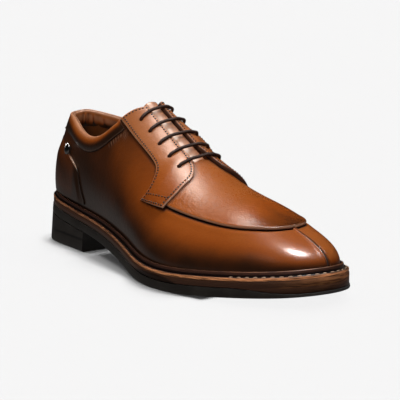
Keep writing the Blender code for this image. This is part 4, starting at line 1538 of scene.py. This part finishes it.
class DERBY_OT_counter(bpy.types.Operator):
    """Makes the heel counter round the back"""
    bl_idname = "derby.counter"
    bl_label = "Heel counter"

    def execute(self, context):
        half = np.concatenate([np.linspace(0.0, 0.17, 44), np.linspace(0.173, 0.232, 40),
                               COUNTER_END - np.array([0.0032, 0.0022, 0.0012, 0.0005, 0.0])])
        rows = edged(30, 38.0, 1.6)
        run, rise = COUNTER_SPAN

        def spot(across, v):
            along = np.abs(across)
            return along, COUNTER_FOOT + (counter_top(along) - COUNTER_FOOT) * v

        def inside(across, v):
            """Millimetres in from the top edge or the front end."""
            along, up = spot(across, v)
            top = (counter_top(along) - up) * rate_across(across, along, up)
            slope = (counter_top(along + 1e-3) - counter_top(along - 1e-3)) / 2e-3 * rise / run
            return np.minimum(top / np.sqrt(1 + slope ** 2), (COUNTER_END - along) * run)

        def front(across, v):
            along, up = spot(across, v)
            depth = inside(across, v)
            skived = 1 - 0.85 * smooth(0.145, 0.115, along) * smooth(14.0, 1.0, depth)
            skived = skived - 0.6 * smooth(0.190, 0.212, along) * smooth(10.0, 1.0, depth)
            out = COUNTER_LIFT + OVERLAY * rounded(depth, 0.9, 0.4) - 0.12 * hump(depth, 2.1, 0.7)
            return skin_across(across, along, up, 0.2 + (out - 0.2) * skived)

        def back(across, v):
            return skin_across(across, *spot(across, v), 0.15)

        # darker toward its foot; the rise toward the front end is painted shade on the skived face
        # that turns to the light. lit is a painted highlight along the edge from the stud toward
        # the front end, and line a painted shadow along the front end's edge
        def burnish(across, v):
            height = 0.86 - 0.12 * smooth(0.5, 1.0, v) + 0.1 * smooth(0.3, 0.0, v)
            return height + 0.25 * smooth(0.180, 0.205, np.abs(across))

        def lit(across, v):
            along = np.abs(across)
            part = 0.9 * smooth(0.160, 0.172, along) * smooth(0.208, 0.198, along)
            return smooth(0.6, 0.15, inside(across, v)) * part

        def line(across, v):
            part = 0.6 * smooth(0.200, 0.212, np.abs(across))
            return part * smooth(0.6, 0.1, inside(across, v))

        mesh = slab_mesh("heel_counter", mirrored(half), rows, front, back,
                         {"burnish": burnish, "edge": lit, "seam": line})
        add_piece("heel_counter", mesh, ["counter_calf"], ["counter"], sharp=60)
        return {"FINISHED"}


def humps(value, rows):
    """Sum of humps of (height, centre, width)."""
    return sum(height * hump(value, centre, width) for height, centre, width in rows)


class DERBY_OT_collar(bpy.types.Operator):
    """Makes the padded collar roll over the top line"""
    bl_idname = "derby.collar"
    bl_label = "Padded collar"

    def execute(self, context):
        roll = chord_spline(COLLAR_ROLL, 56)
        profile = np.concatenate([roll, COLLAR_FOLD, roll[:1]])
        columns = mirrored(np.linspace(0.0, COLLAR_END, 110))
        across, number = np.meshgrid(columns, np.arange(len(profile)), indexing="ij")
        rise = profile[number, 0]
        share = number / (len(roll) - 1.0)
        rolled = number < len(roll)
        station = np.abs(across)
        back_thin = smooth(0.17, 0.06, station) * smooth(0.62, 0.30, share) * rolled
        out = profile[number, 1] - back_thin * np.clip(profile[number, 1] - 0.32, 0.0, None)
        down = -np.minimum(rise, 0.0) / COLLAR_HEIGHT
        turn = collar_front(station)
        piping = rolled * (0.28 * hump(share, 0.565, 0.022) - 0.40 * hump(share, 0.515, 0.018))
        crest = (1.3 * hump(across, 0.035, 0.045) * smooth(0.25, 0.50, share)
                 * smooth(0.95, 0.70, share) * rolled)
        inside = smooth(0.58, 0.70, share) * rolled
        # soft pleats inside the back of the collar, and the valleys between them
        pleats = humps(across, ((0.8, 0.014, 0.007), (0.9, 0.045, 0.008), (0.6, 0.082, 0.010),
                                (0.4, -0.06, 0.010)))
        valleys = humps(across, ((0.9, 0.028, 0.0035), (0.9, 0.063, 0.0035), (0.6, 0.105, 0.005)))
        out = out + inside * smooth(1.0, 0.85, share) * (1.4 * pleats - 0.5 * valleys)

        def one(side):
            along = station + COLLAR_SLANT * turn * down
            edge = upper_edge(side, station)
            root = wall(side, along, edge)
            climb = unit(wall(side, along, edge + 0.01) - root)
            speed = np.linalg.norm(root - wall(side, along, edge - 0.05), axis=-1) / 0.05
            up = edge - collar_tall(turn) * down / speed
            lift = np.maximum(rise, 0.0) + piping + crest
            return skin(side, along, up, out) + lift[..., None] * climb

        # painted light and shade on the collar: shade darkens its lower face, its back end, the
        # inside toward the lining and toward the front, and the pleats' valleys; band is a painted
        # lit band inside the back; lit puts painted highlights on the piping, along the foot and
        # near the rim; seam is painted shade in the piping's groove and along the foot
        creased = np.clip(valleys, 0.0, 1.0)
        shade = 0.02 + 0.95 * smooth(0.45, 0.12, share)
        shade = shade + 0.3 * smooth(0.16, 0.03, station) * smooth(0.50, 0.35, share)
        shade = shade + 0.9 * smooth(0.74, 0.97, share) + 0.7 * inside * creased
        shade = shade + 0.95 * inside * smooth(0.08, 0.17, across)
        band = inside * smooth(0.20, 0.10, station) * (1 - creased) * smooth(0.90, 0.74, share)
        lit = humps(share, ((0.55, 0.565, 0.025), (0.18, 0.025, 0.012), (0.52, 0.47, 0.08)))
        seam = 0.75 * hump(share, 0.515, 0.016) + 0.8 * smooth(0.015, 0.0, share)
        marks = {"burnish": np.clip(shade, 0.0, 1.0), "seam": seam * rolled,
                 "edge": (lit + 0.40 * band) * rolled}
        mesh = grid_mesh("padded_collar", both_sides(across, one), marks)
        bm = bmesh.new()
        bm.from_mesh(mesh)
        bmesh.ops.remove_doubles(bm, verts=bm.verts[:], dist=2e-6)
        bmesh.ops.holes_fill(bm, edges=[e for e in bm.edges if e.is_boundary], sides=0)
        bm.to_mesh(mesh)
        bm.free()
        collar = add_piece("padded_collar", weld(mesh), ["collar_calf"],
                           ["collar"], sharp=70)
        return {"FINISHED"}


class DERBY_OT_tongue(bpy.types.Operator):
    """Makes the tongue under the laces"""
    bl_idname = "derby.tongue"
    bl_label = "Tongue"

    def execute(self, context):
        columns = edged(60, TONGUE_LENGTH, 1.2)
        rows = np.linspace(0.0, 1.0, 49)

        def surface(u, v, out):
            across = np.sign(v - 0.5) * np.abs(2 * v - 1) ** 1.25
            start = TONGUE_TOP_X + TONGUE_TOP_BOW * across ** 2
            x = start + (TONGUE_END_X - start) * u
            half = 23.0 - 4.0 * u
            raised = (2.0 + 0.22 * across * half) * smooth(6.2, 3.8, np.abs(across * half))

            def one(side):
                middle = along_where(side, np.full_like(x, 0.9), x)
                reach = up_where(side, middle, lambda p: off_centre(p) < half)
                up = 1 - np.abs(across) * (1 - reach)
                return skin(side, along_where(side, up, x), up, out + raised)

            return both_sides(across, one)

        def front(u, v):
            depth = np.minimum(u, 1 - u) * TONGUE_LENGTH
            return surface(u, v, TONGUE_THICK * rounded(depth, 1.2, 0.3) - TONGUE_DEPTH)

        marks = {
            "burnish": lambda u, v: np.zeros_like(u),
            # painted light: the tongue is painted paler, most on its lateral half, for the gloss
            # that lights it
            "edge": lambda u, v: 0.62 - 0.3 * smooth(0.45, 0.62, v),
            "seam": lambda u, v: np.zeros_like(u),
        }
        mesh = slab_mesh("tongue_leather", columns, rows, front,
                         lambda u, v: surface(u, v, -TONGUE_DEPTH), marks)
        add_piece("tongue_leather", mesh, ["tongue_calf"], ["tongue"], sharp=60)
        return {"FINISHED"}


class DERBY_OT_lining(bpy.types.Operator):
    """Makes the quarter lining with its soft pleats, and the sock lining on the insole"""
    bl_idname = "derby.lining"
    bl_label = "Linings"

    def execute(self, context):
        columns = mirrored(np.linspace(0.0, 0.385, 150))
        rows = np.linspace(0.0, 1.0, 40)

        def surface(across, v, deeper):
            along = np.abs(across)
            pleats = humps(along, ((0.9, 0.075, 0.010), (0.8, 0.125, 0.008), (0.5, 0.16, 0.010),
                                   (0.45, 0.215, 0.012)))
            fold = 0.4 * pleats * smooth(0.25, 0.8, v)

            def one(side):
                edge = upper_edge(side, np.minimum(along, COLLAR_END))
                rate = climb_rate(side, along, edge * 0.9)
                top = edge - smooth(0.36, 0.30, along) * 7.0 / rate - 2.0 / rate
                return skin(side, along, 0.02 + (top - 0.02) * v, -LINING_DEPTH - fold - deeper)

            return both_sides(across, one)

        mesh = slab_mesh("quarter_lining", columns, rows, lambda a, v: surface(a, v, 0.0),
                         lambda a, v: surface(a, v, LINING_THICK))
        add_piece("quarter_lining", mesh, ["lining_calf"])
        low = offset(welt_top, -WELT_THICK)
        top = offset(low, INSOLE_THICK)
        inner = level(-(margin(0.5) + WALL + 1.6))
        sock = layer_mesh("sock_lining", spread(110, 0.55),
                          [(low, inner), (offset(top, -0.7), inner), (top, offset(inner, -0.7))],
                          24, crown=-1.2)
        add_piece("sock_lining", sock, ["lining_calf"], ["insole"], sharp=50)
        return {"FINISHED"}


# Sole
def layer_mesh(name, stations, rings, across, edge=None, crown=0.0):
    """Closed layer of the sole: rings of (height, outward) from bottom to top, and two caps.

    Edge is the edge mark of each station and ring, and crown lifts the middle of the top.
    """
    shares = np.linspace(0.0, 1.0, across + 1)
    edge = np.zeros((len(stations), len(rings))) if edge is None else edge
    sides = []
    for side in (LATERAL, MEDIAL):
        base, _ = outline(side, stations)
        levels = []
        for height, outward in rings:
            flat, _ = outline(side, stations, outward(base[:, 0]))
            levels.append(np.concatenate([flat, height(flat[:, 0])[:, None]], -1))
        sides.append(np.stack(levels, 1))
    lateral, medial = sides
    grids = [(lateral, edge), (medial, edge)]
    for ring, lift in ((0, 0.0), (-1, crown)):
        reach = medial[:, None, ring] - lateral[:, None, ring]
        flat = lateral[:, None, ring] + reach * shares[None, :, None]
        flat[..., 2] += lift * (4 * shares * (1 - shares))[None] ** 0.7
        grids.append((flat, edge[:, ring][:, None]))
    if np.linalg.norm(lateral[-1, 0] - medial[-1, 0]) > 1.0:
        front = lateral[-1][None] + (medial[-1] - lateral[-1])[None] * shares[:, None, None]
        grids.append((front, edge[-1:]))
    faces = []
    values = []
    count = 0
    for grid, value in grids:
        faces.append(grid_faces(grid.shape[0] - 1, grid.shape[1] - 1, count))
        values.append(np.broadcast_to(value, grid.shape[:2]).ravel())
        count += grid.shape[0] * grid.shape[1]
    points = np.concatenate([grid.reshape(-1, 3) for grid, _ in grids])
    marks = {"edge": np.concatenate(values), "seam": np.zeros(count)}
    return weld(new_mesh(name, points, np.concatenate(faces), marks))


def level(height):
    return lambda x: np.full_like(x, height)


def flare(height):
    """How far the sole spreads below the welt's top, by height."""
    return lambda x: SOLE_FLARE * (welt_top(x) - height(x))


def offset(function, amount):
    return lambda x: function(x) + amount


def halfway(first, second):
    return lambda x: 0.5 * (first(x) + second(x))


def midsole_thick(x):
    """Thickness of the midsole, which grows round the toe."""
    return MIDSOLE_THICK + (MIDSOLE_TOE_THICK - MIDSOLE_THICK) * smooth(258.0, 303.0, x)


def breast_share():
    """Share along the side at which the heel's front face stands."""
    shares, line, *_ = HALVES[LATERAL]
    return float(np.interp(HEEL_BREAST, line[:, 0], shares))


# Brown of the midsole's rings from bottom to top: round the toe, and more at its tip as painted
# light on a tip that the lamps leave in shade
MIDSOLE_TOE_BROWN = (0.0, 0.05, 0.05, 0.55, 0.3, 0.3, 0.25, 0.2)
MIDSOLE_TIP_PAINTED_LIGHT = (0.0, 0.1, 0.12, 0.2, 0.55, 0.65, 0.7, 0.6)


class DERBY_OT_sole(bpy.types.Operator):
    """Makes the midsole, the rubber outsole and the heel block"""
    bl_idname = "derby.sole"
    bl_label = "Sole and heel"

    def execute(self, context):
        stations = spread(150, 0.55)
        midsole_top = offset(welt_top, -WELT_THICK - GAP)
        midsole_low = lambda x: midsole_top(x) - midsole_thick(x)
        sole_top = offset(midsole_low, -GAP)
        recessed = offset(flare(midsole_low), -MIDSOLE_INSET)
        parting = lambda x: np.maximum(midsole_low(x) + 0.8, midsole_top(x) - MIDSOLE_THICK)
        # brown round the toe, with painted light at the tip
        brown = (smooth(0.86, 0.95, stations)[:, None] * np.array(MIDSOLE_TOE_BROWN)
                 + smooth(0.91, 0.98, stations)[:, None] * np.array(MIDSOLE_TIP_PAINTED_LIGHT))
        midsole = layer_mesh("midsole_edge", stations, [
            (offset(midsole_low, -0.2), offset(recessed, -0.4)),
            (offset(midsole_low, 0.25), recessed),
            (offset(parting, -0.4), offset(recessed, 0.05)),
            (parting, offset(recessed, -0.1)),
            (offset(parting, 0.4), offset(recessed, 0.05)),
            (halfway(parting, midsole_top), offset(recessed, 0.05)),
            (offset(midsole_top, -0.4), recessed),
            (offset(midsole_top, 0.2), offset(recessed, -0.45)),
        ], 8, edge=brown)
        add_piece("midsole_edge", midsole, ["fibrous_midsole"], ["midsole"],
                  sharp=50)
        wide = flare(sole_top)
        base = flare(underside)
        outsole = layer_mesh("rubber_outsole", stations, [
            (underside, offset(base, -1.0)),
            (offset(underside, 0.25), offset(base, -0.3)),
            (offset(underside, 0.9), base),
            (halfway(underside, sole_top), halfway(base, wide)),
            (offset(sole_top, -0.45), wide),
            (offset(sole_top, -0.1), offset(wide, -0.15)),
            (sole_top, offset(wide, -0.6)),
        ], 16)
        add_piece("rubber_outsole", outsole, ["sanded_rubber"], ["outsole"],
                  sharp=40)
        heel_top = offset(underside, -GAP)
        foot = flare(level(0.0))
        heel = layer_mesh("heel_block", breast_share() * np.linspace(0.0, 1.0, 60) ** 1.3, [
            (level(0.0), offset(foot, -1.3)),
            (level(0.35), offset(foot, -0.4)),
            (level(1.2), foot),
            (level(6.5), flare(level(6.5))),
            (offset(heel_top, -0.4), flare(heel_top)),
            (heel_top, offset(flare(heel_top), -0.5)),
        ], 16)
        add_piece("heel_block", heel, ["sanded_rubber"], ["heel"], sharp=35)
        return {"FINISHED"}


def welt_line(side, along, out, up):
    """Point over the welt: out from the foot of the upper and up from the welt's underside."""
    edge, _ = outline(side, along)
    climb = up - WELT_THICK
    lean_out = np.maximum(climb, 0.0) * np.tan(np.radians(lean(along)))
    flat, _ = outline(side, along, -margin(along) + GAP + out + lean_out)
    return np.concatenate([flat, (welt_top(edge[..., 0]) + climb)[..., None]], -1)


# Profile of the welt: share of its width, distance added to it, height, pale edge (with a painted
# highlight on the rib's crest), dark seam (painted shade across the welt's top toward the rib, in
# the groove and on the rib's sides)
WELT_PROFILE = (
    (0.0, 0.0, 0.0, 0.0, 1.0),
    (1.0, -0.5, 0.0, 0.5, 0.3),
    (1.0, -0.1, 0.15, 0.9, 0.0),
    (1.0, 0.0, 0.6, 1.0, 0.0),
    (1.0, 0.0, 1.5, 1.0, 0.0),
    (1.0, -0.12, 1.95, 1.0, 0.0),
    (1.0, -0.5, 2.18, 0.5, 0.3),
    (1.0, -0.95, 2.2, 0.2, 0.6),
    (1.0, -1.3, 2.18, 0.0, 0.8),
    (0.5, 0.5 * RIB_WIDTH + 0.35, 2.1, 0.0, 0.8),
    (0.0, RIB_WIDTH + 0.85, 1.95, 0.0, 1.0),
    (0.0, RIB_WIDTH + 0.40, 1.95, 0.0, 1.0),
    (0.0, RIB_WIDTH + 0.14, 2.3, 0.0, 1.0),
    (0.0, RIB_WIDTH + 0.08, 3.3, 0.0, 0.9),
    (0.0, RIB_WIDTH, 3.9, 0.0, 0.1),
    (0.0, 0.86 * RIB_WIDTH, WELT_THICK + 0.84 * RIB_HEIGHT, 0.0, 0.0),
    (0.0, 0.64 * RIB_WIDTH, WELT_THICK + 0.97 * RIB_HEIGHT, 0.06, 0.0),
    (0.0, 0.42 * RIB_WIDTH, WELT_THICK + RIB_HEIGHT, 0.05, 0.0),
    (0.0, 0.20 * RIB_WIDTH, WELT_THICK + 0.95 * RIB_HEIGHT, 0.0, 0.3),
    (0.0, 0.0, WELT_THICK + 0.80 * RIB_HEIGHT, 0.0, 0.9),
)
# Points of that profile on top of the rib, which get a painted highlight round the toe
RIB_CREST = (16, 17)


class DERBY_OT_welt(bpy.types.Operator):
    """Makes the storm welt: a strip with a dark rib against the upper and a pale cut edge"""
    bl_idname = "derby.welt"
    bl_label = "Storm welt"

    def execute(self, context):
        profile = np.array((*WELT_PROFILE, WELT_PROFILE[0]))
        along, index = np.meshgrid(spread(230, 0.55), np.arange(len(profile)), indexing="ij")
        share, added, height, pale, seam = (profile[index, k] for k in range(5))
        out = share * (margin(along) - GAP) + added
        pale = pale * (0.66 + 0.34 * smooth(0.40, 0.66, along))
        # painted highlight on the rib's crest round the toe
        pale = pale + np.isin(index, RIB_CREST) * 0.28 * smooth(0.70, 0.86, along)
        points = round_toe(*(welt_line(side, along, out, height) for side in (LATERAL, MEDIAL)))
        marks = {"edge": round_toe(pale, pale), "seam": round_toe(seam, seam)}
        mesh = weld(grid_mesh("storm_welt", points, marks))
        add_piece("storm_welt", mesh, ["fibrous_welt"], ["welt"], sharp=60)
        return {"FINISHED"}


# Laces, stud and sewing
# Shares of the way from a hole to the middle of the throat at which a lace bar is set out
LACE_SHARES = (0.0, 0.0, 0.09, 0.25, 0.5, 0.8)


class DERBY_OT_laces(bpy.types.Operator):
    """Runs the waxed lace in straight bars through the punched holes"""
    bl_idname = "derby.laces"
    bl_label = "Lace bars"

    def execute(self, context):
        sizes, _ = settings()
        radius = sizes.lace_radius / MM
        share = np.array(LACE_SHARES)
        for number, along in enumerate(EYELETS, 1):
            lie = eyestay_lift(along + 0.005) + OVERLAY + radius - 0.25
            holes = {side: EYELET_UP * side_scale(side) for side in (LATERAL, MEDIAL)}
            ends = {side: wall(side, along, hole)[0] for side, hole in holes.items()}
            middle = (ends[LATERAL] + ends[MEDIAL]) / 2
            halves = []
            for side, hole in holes.items():
                ups = hole + (1 - hole) * share
                straight = along_where(side, ups, ends[side] + (middle - ends[side]) * share)
                over = -0.2 if side == LATERAL else MEDIAL_FULL + 0.2
                outs = np.array([-2.0, lie - 1.3, lie - 0.1 + over, lie + over, lie + over,
                                 lie - 0.2 + 0.5 * over])
                halves.append(skin(side, straight, ups, outs))
            lateral, medial = halves
            path = chord_spline(np.concatenate([lateral, medial[::-1]]), 110)
            mesh = tube_mesh(f"lace_{number}", path, radius, 14)
            add_piece(f"lace_{number}", mesh, ["waxed_braid"],
                      [f"lace_bar_{number}"])
        return {"FINISHED"}


# Profile of the stud from its rim under the leather to its middle: share of the radius, height
STUD_PROFILE = ((0.98, -0.3), (1.0, 0.3), (0.98, 0.6), (0.92, 0.88), (0.82, 1.1), (0.66, 1.33),
                (0.45, 1.49), (0.22, 1.57), (0.0, 1.6))


class DERBY_OT_stud(bpy.types.Operator):
    """Makes the plain round stud at the top of the counter"""
    bl_idname = "derby.stud"
    bl_label = "Counter stud"

    def execute(self, context):
        along, up = np.array(STUD_AT)[:, None]
        base = skin(LATERAL, along, up, OVERLAY + 2 * GAP)[0]
        normal = wall_normal(LATERAL, along, up)[0]
        aside = np.cross(normal, (0.0, 0.0, 1.0))
        aside /= np.linalg.norm(aside)
        over = np.cross(normal, aside)
        turn = np.linspace(0.0, 2 * math.pi, 49)[:, None]
        ring = np.cos(turn) * aside + np.sin(turn) * over
        rings = [base + share * STUD_RADIUS * ring + height * normal
                 for share, height in ((0.0, STUD_PROFILE[0][1]), *STUD_PROFILE)]
        mesh = weld(grid_mesh("counter_stud", np.stack(rings, 1)))
        add_piece("counter_stud", mesh, ["polished_stud"], ["stud"], sharp=40)
        return {"FINISHED"}


def facing_row(side, u, v):
    """Line of stitches on a facing, lying on its surface."""
    along, up = facing_spot(side, u, v)
    out = eyestay_lift(along) + facing_thick(side, v) + 0.05
    return skin(side, along, up, out), wall_normal(side, along, up)


class DERBY_OT_sewing(bpy.types.Operator):
    """Sews the facings in dark thread and the welt in pale thread"""
    bl_idname = "derby.sewing"
    bl_label = "Sewing"

    def execute(self, context):
        sizes, _ = settings()
        inset = sizes.stitch_inset / MM
        end = inset / FACING_LENGTH
        facing_lines = []
        welt_lines = []
        for side in (LATERAL, MEDIAL):
            u = np.linspace(end, 1 - end, 160)
            width = facing_width(side, u)
            facing_lines.append(facing_row(side, u, 1 - inset / width))
            facing_lines.append(facing_row(side, u, inset / width))
            for down in (end, 1 - end, 0.905):
                wide = float(facing_width(side, np.array([down]))[0])
                v = np.linspace(inset / wide, 1 - inset / wide, 50)
                facing_lines.append(facing_row(side, np.full_like(v, down), v))
            along = np.linspace(0.80, 1.0, 200)
            out = RIB_WIDTH + 0.52 * (margin(along) - GAP - RIB_WIDTH)
            line = welt_line(side, along, out, np.full_like(along, WELT_THICK + 0.1))
            welt_lines.append((line, np.broadcast_to((0.0, 0.0, 1.0), line.shape)))
        sew("facing_stitches", facing_lines, "facing_thread", sizes.facing_pitch,
            sizes.facing_stitch, sizes.facing_thread, sizes.facing_rise)
        sew("welt_stitches", welt_lines, "welt_thread", sizes.welt_pitch, sizes.welt_stitch,
            sizes.welt_thread, sizes.welt_rise)
        return {"FINISHED"}


# Stage
FLOOR_HALF = 20.0
FLOOR_DROP = 0.0002
# Point that the softboxes look at
SHOE_MIDDLE = (0.0, 0.0, 0.06)
# Makes up the power that a softbox loses as it fades to its rim
SOFT_GAIN = 4.2

# Floor suns: degrees round, degrees up, energy, angle in degrees, casts the shoe's shadow
FLOOR_SUNS = (
    ("floor_wash", 80.0, 70.0, 1.1, 20.0, False),
    ("floor_overhead", -140.0, 72.0, 2.9, 22.0, True),
    ("floor_high", -150.0, 58.0, 3.3, 22.0, True),
    ("floor_back", -130.0, 44.0, 4.0, 22.0, True),
    ("floor_low", -142.0, 28.0, 4.4, 22.0, True),
    ("floor_left", -75.0, 52.0, 5.0, 22.0, True),
    ("floor_right", 150.0, 50.0, 4.5, 22.0, True),
)
# Softboxes: degrees round, degrees up, metres away, width, depth, power, tint, seen in diffuse,
# seen in gloss, what they light
SOFTBOXES = (
    ("front_softbox", 118.0, 64.0, 1.0, 0.46, 0.34, 3.9, WHITE, True, False, "shoe"),
    ("overhead_softbox", -118.0, 66.0, 1.1, 0.70, 0.46, 5.8, WHITE, True, False, "shoe"),
    ("side_softbox", 14.0, 40.0, 1.3, 0.90, 0.70, 6.0, WHITE, True, False, "shoe"),
    ("toe_card", 117.0, 72.5, 1.0, 0.54, 0.62, 21.0, WHITE, False, True, "shoe"),
    ("sheen_card", -106.0, 72.0, 1.1, 0.64, 0.60, 6.2, WARM, False, True, "sheen"),
    ("sole_softbox", 56.0, 8.0, 1.2, 0.90, 0.40, 8.0, WHITE, True, False, "sole"),
    ("stud_card", -112.0, 14.0, 1.2, 0.80, 0.90, 44.0, WHITE, True, True, "stud"),
)


def aim_at(obj, target):
    obj.rotation_euler = (Vector(target) - obj.location).to_track_quat("-Z", "Y").to_euler()


def toward(turn, lift):
    """Unit direction by degrees round from the lateral side and degrees up."""
    turn = math.radians(turn)
    lift = math.radians(lift)
    flat = math.cos(lift)
    return Vector((math.sin(turn) * flat, -math.cos(turn) * flat, math.sin(lift)))


def softbox(name, direction, away, width, depth, power):
    """Soft light that looks at the shoe from one direction and fades toward its rim."""
    light = bpy.data.lights.new(name, "AREA")
    light.shape = "RECTANGLE"
    light.size = width
    light.size_y = depth
    light.energy = power
    light.use_nodes = True
    tree = light.node_tree
    spot = add_node(tree, "ShaderNodeNewGeometry").outputs["Parametric"]
    from_middle = add_node(tree, "ShaderNodeVectorMath", {0: spot, 1: (0.5, 0.5, 0.0)},
                           operation="DISTANCE")
    fade = ramp(tree, from_middle.outputs["Value"], 0.5, 0.0)
    strength = math_node(tree, "MULTIPLY", fade, SOFT_GAIN)
    fill(tree, tree.nodes["Emission"], {"Strength": strength})
    obj = new_object(name, light)
    obj.location = Vector(SHOE_MIDDLE) + direction * away
    aim_at(obj, SHOE_MIDDLE)
    return obj


def studio_world():
    """Dim room above, darker below, and the floor's own pale tone where the camera sees past it."""
    world = bpy.data.worlds.new("studio")
    world.use_nodes = True
    tree = world.node_tree
    tree.nodes.clear()
    ray = add_node(tree, "ShaderNodeTexCoord")
    height = add_node(tree, "ShaderNodeSeparateXYZ", {0: ray.outputs["Generated"]}).outputs["Z"]
    tone = mix_colour(tree, ramp(tree, height, -0.25, 0.75), (0.03, 0.028, 0.026, 1.0),
                      (0.16, 0.155, 0.15, 1.0))
    mirrored_tone = mix_colour(tree, ramp(tree, height, -0.04, -0.22), (0.010, 0.009, 0.009, 1.0),
                               (0.15, 0.146, 0.142, 1.0))
    seen = add_node(tree, "ShaderNodeLightPath")
    tone = mix_colour(tree, seen.outputs["Is Glossy Ray"], tone, mirrored_tone)
    tone = mix_colour(tree, seen.outputs["Is Camera Ray"], tone, (0.913, 0.913, 0.913, 1.0))
    back = add_node(tree, "ShaderNodeBackground", {"Color": tone, "Strength": 1.0})
    tree.nodes.active = add_node(tree, "ShaderNodeOutputWorld", {"Surface": back.outputs[0]})
    bpy.context.scene.world = world


def shade_body(name, first, last, outward, low, high):
    """Closed body inside the sole, between two shares of its length, that shades the floor."""
    stations = first + (last - first) * np.linspace(0.0, 1.0, 41)
    body = new_object(name, layer_mesh(name, stations, [(low, outward), (high, outward)], 8))
    body.visible_camera = False
    body.visible_diffuse = False
    body.visible_glossy = False
    body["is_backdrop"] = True
    return body


def waist_shade_top(x):
    """Top of the body that shades the floor beside the waist and the ball."""
    ball = 10.0 * smooth(135.0, 185.0, x) * smooth(246.0, 202.0, x)
    return np.maximum(underside(x) + 1.5, ball)


def light_group(name, objects):
    """Collection that a light shines on, or that blocks it."""
    group = bpy.data.collections.new(name)
    for obj in objects:
        group.objects.link(obj)
    return group


def studio_floor():
    mesh = bpy.data.meshes.new("studio_floor")
    corners = ((-1, -1), (1, -1), (1, 1), (-1, 1))
    mesh.from_pydata([(x * FLOOR_HALF, y * FLOOR_HALF, -FLOOR_DROP) for x, y in corners], [],
                     [(0, 1, 2, 3)])
    mesh.materials.append(finish("pale_floor"))
    floor = new_object("studio_floor", mesh)
    floor.visible_glossy = False
    floor.visible_diffuse = False
    floor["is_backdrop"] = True
    return floor


def floor_lights(floor):
    """Suns that light the floor alone, blocked by the bodies inside the heel and the sole."""
    breast = breast_share()
    blockers = light_group("floor_light_blockers", (
        shade_body("heel_shade", 0.0, breast, offset(flare(level(0.0)), -0.6), level(0.2),
                   level(10.0)),
        shade_body("sole_shade", breast, 0.74, level(0.3), offset(underside, 0.3),
                   waist_shade_top),
    ))
    on_floor = light_group("floor_light_receivers", (floor,))
    for name, turn, lift, energy, angle, shadow in FLOOR_SUNS:
        light = bpy.data.lights.new(name, "SUN")
        light.energy = energy
        light.angle = math.radians(angle)
        light.use_shadow = shadow
        sun = new_object(name, light)
        sun.location = toward(turn, lift)
        aim_at(sun, (0.0, 0.0, 0.0))
        sun.light_linking.receiver_collection = on_floor
        sun.light_linking.blocker_collection = blockers


def shoe_lights(pieces):
    """Softboxes, each of which lights some of the pieces."""
    lit = {
        "shoe": pieces,
        "sheen": [piece for piece in pieces if piece.name != "vamp_and_quarters"],
        "sole": [bpy.data.objects["storm_welt"]],
        "stud": [bpy.data.objects["counter_stud"]],
    }
    groups = {key: light_group(key + "_light_receivers", some) for key, some in lit.items()}
    for name, turn, lift, *box, tint, diffuse, glossy, lights in SOFTBOXES:
        light = softbox(name, toward(turn, lift), *box)
        light.data.color = tint
        light.visible_diffuse = diffuse
        light.visible_glossy = glossy
        light.light_linking.receiver_collection = groups[lights]


def photo_camera():
    """Camera at the photograph's viewing angle."""
    camera = bpy.data.cameras.new("photo_camera")
    camera.lens = CAMERA_LENS
    camera.sensor_width = CAMERA_SENSOR
    camera.clip_start = 0.05
    camera.clip_end = 60.0
    eye = new_object("photo_camera", camera)
    eye.location = Vector(CAMERA_AIM) + toward(CAMERA_ROUND, CAMERA_UP) * CAMERA_AWAY
    aim_at(eye, CAMERA_AIM)
    return eye


class DERBY_OT_stage(bpy.types.Operator):
    """Sets the pale floor, the soft lights and the photograph's camera"""
    bl_idname = "derby.stage"
    bl_label = "Stage"

    def execute(self, context):
        pieces = list(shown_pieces())
        floor = studio_floor()
        studio_world()
        context.scene.view_settings.view_transform = "Standard"
        floor_lights(floor)
        shoe_lights(pieces)
        context.scene.camera = photo_camera()
        return {"FINISHED"}


class DERBY_PT_panel(bpy.types.Panel):
    """Lists the shoe's pieces and settings"""
    bl_idname = "DERBY_PT_panel"
    bl_label = "Split-toe derby"
    bl_space_type = "VIEW_3D"
    bl_region_type = "UI"
    bl_category = "Derby"

    def draw(self, context):
        for operator in OPERATORS:
            self.layout.operator(operator.bl_idname)
        for group in (context.scene.derby_sizes, context.scene.derby_colours):
            box = self.layout.box()
            for key in group.__annotations__:
                box.prop(group, key)


OPERATORS = (
    DERBY_OT_upper,
    DERBY_OT_apron,
    DERBY_OT_toe_seam,
    DERBY_OT_facings,
    DERBY_OT_counter,
    DERBY_OT_collar,
    DERBY_OT_tongue,
    DERBY_OT_lining,
    DERBY_OT_welt,
    DERBY_OT_sole,
    DERBY_OT_laces,
    DERBY_OT_stud,
    DERBY_OT_sewing,
    DERBY_OT_stage,
)
CLASSES = (DerbySizes, DerbyColours, *OPERATORS, DERBY_PT_panel)


def register():
    for item in CLASSES:
        bpy.utils.register_class(item)
    bpy.types.Scene.derby_sizes = bpy.props.PointerProperty(type=DerbySizes)
    bpy.types.Scene.derby_colours = bpy.props.PointerProperty(type=DerbyColours)


def unregister():
    del bpy.types.Scene.derby_colours
    del bpy.types.Scene.derby_sizes
    for item in reversed(CLASSES):
        bpy.utils.unregister_class(item)


def main():
    register()
    for obj in [o for o in bpy.data.objects if o.type in {"LIGHT", "CAMERA"} or o.name == "Cube"]:
        bpy.data.objects.remove(obj, do_unlink=True)
    for operator in OPERATORS:
        family, name = operator.bl_idname.split(".")
        getattr(getattr(bpy.ops, family), name)()


if __name__ == "__main__":
    main()
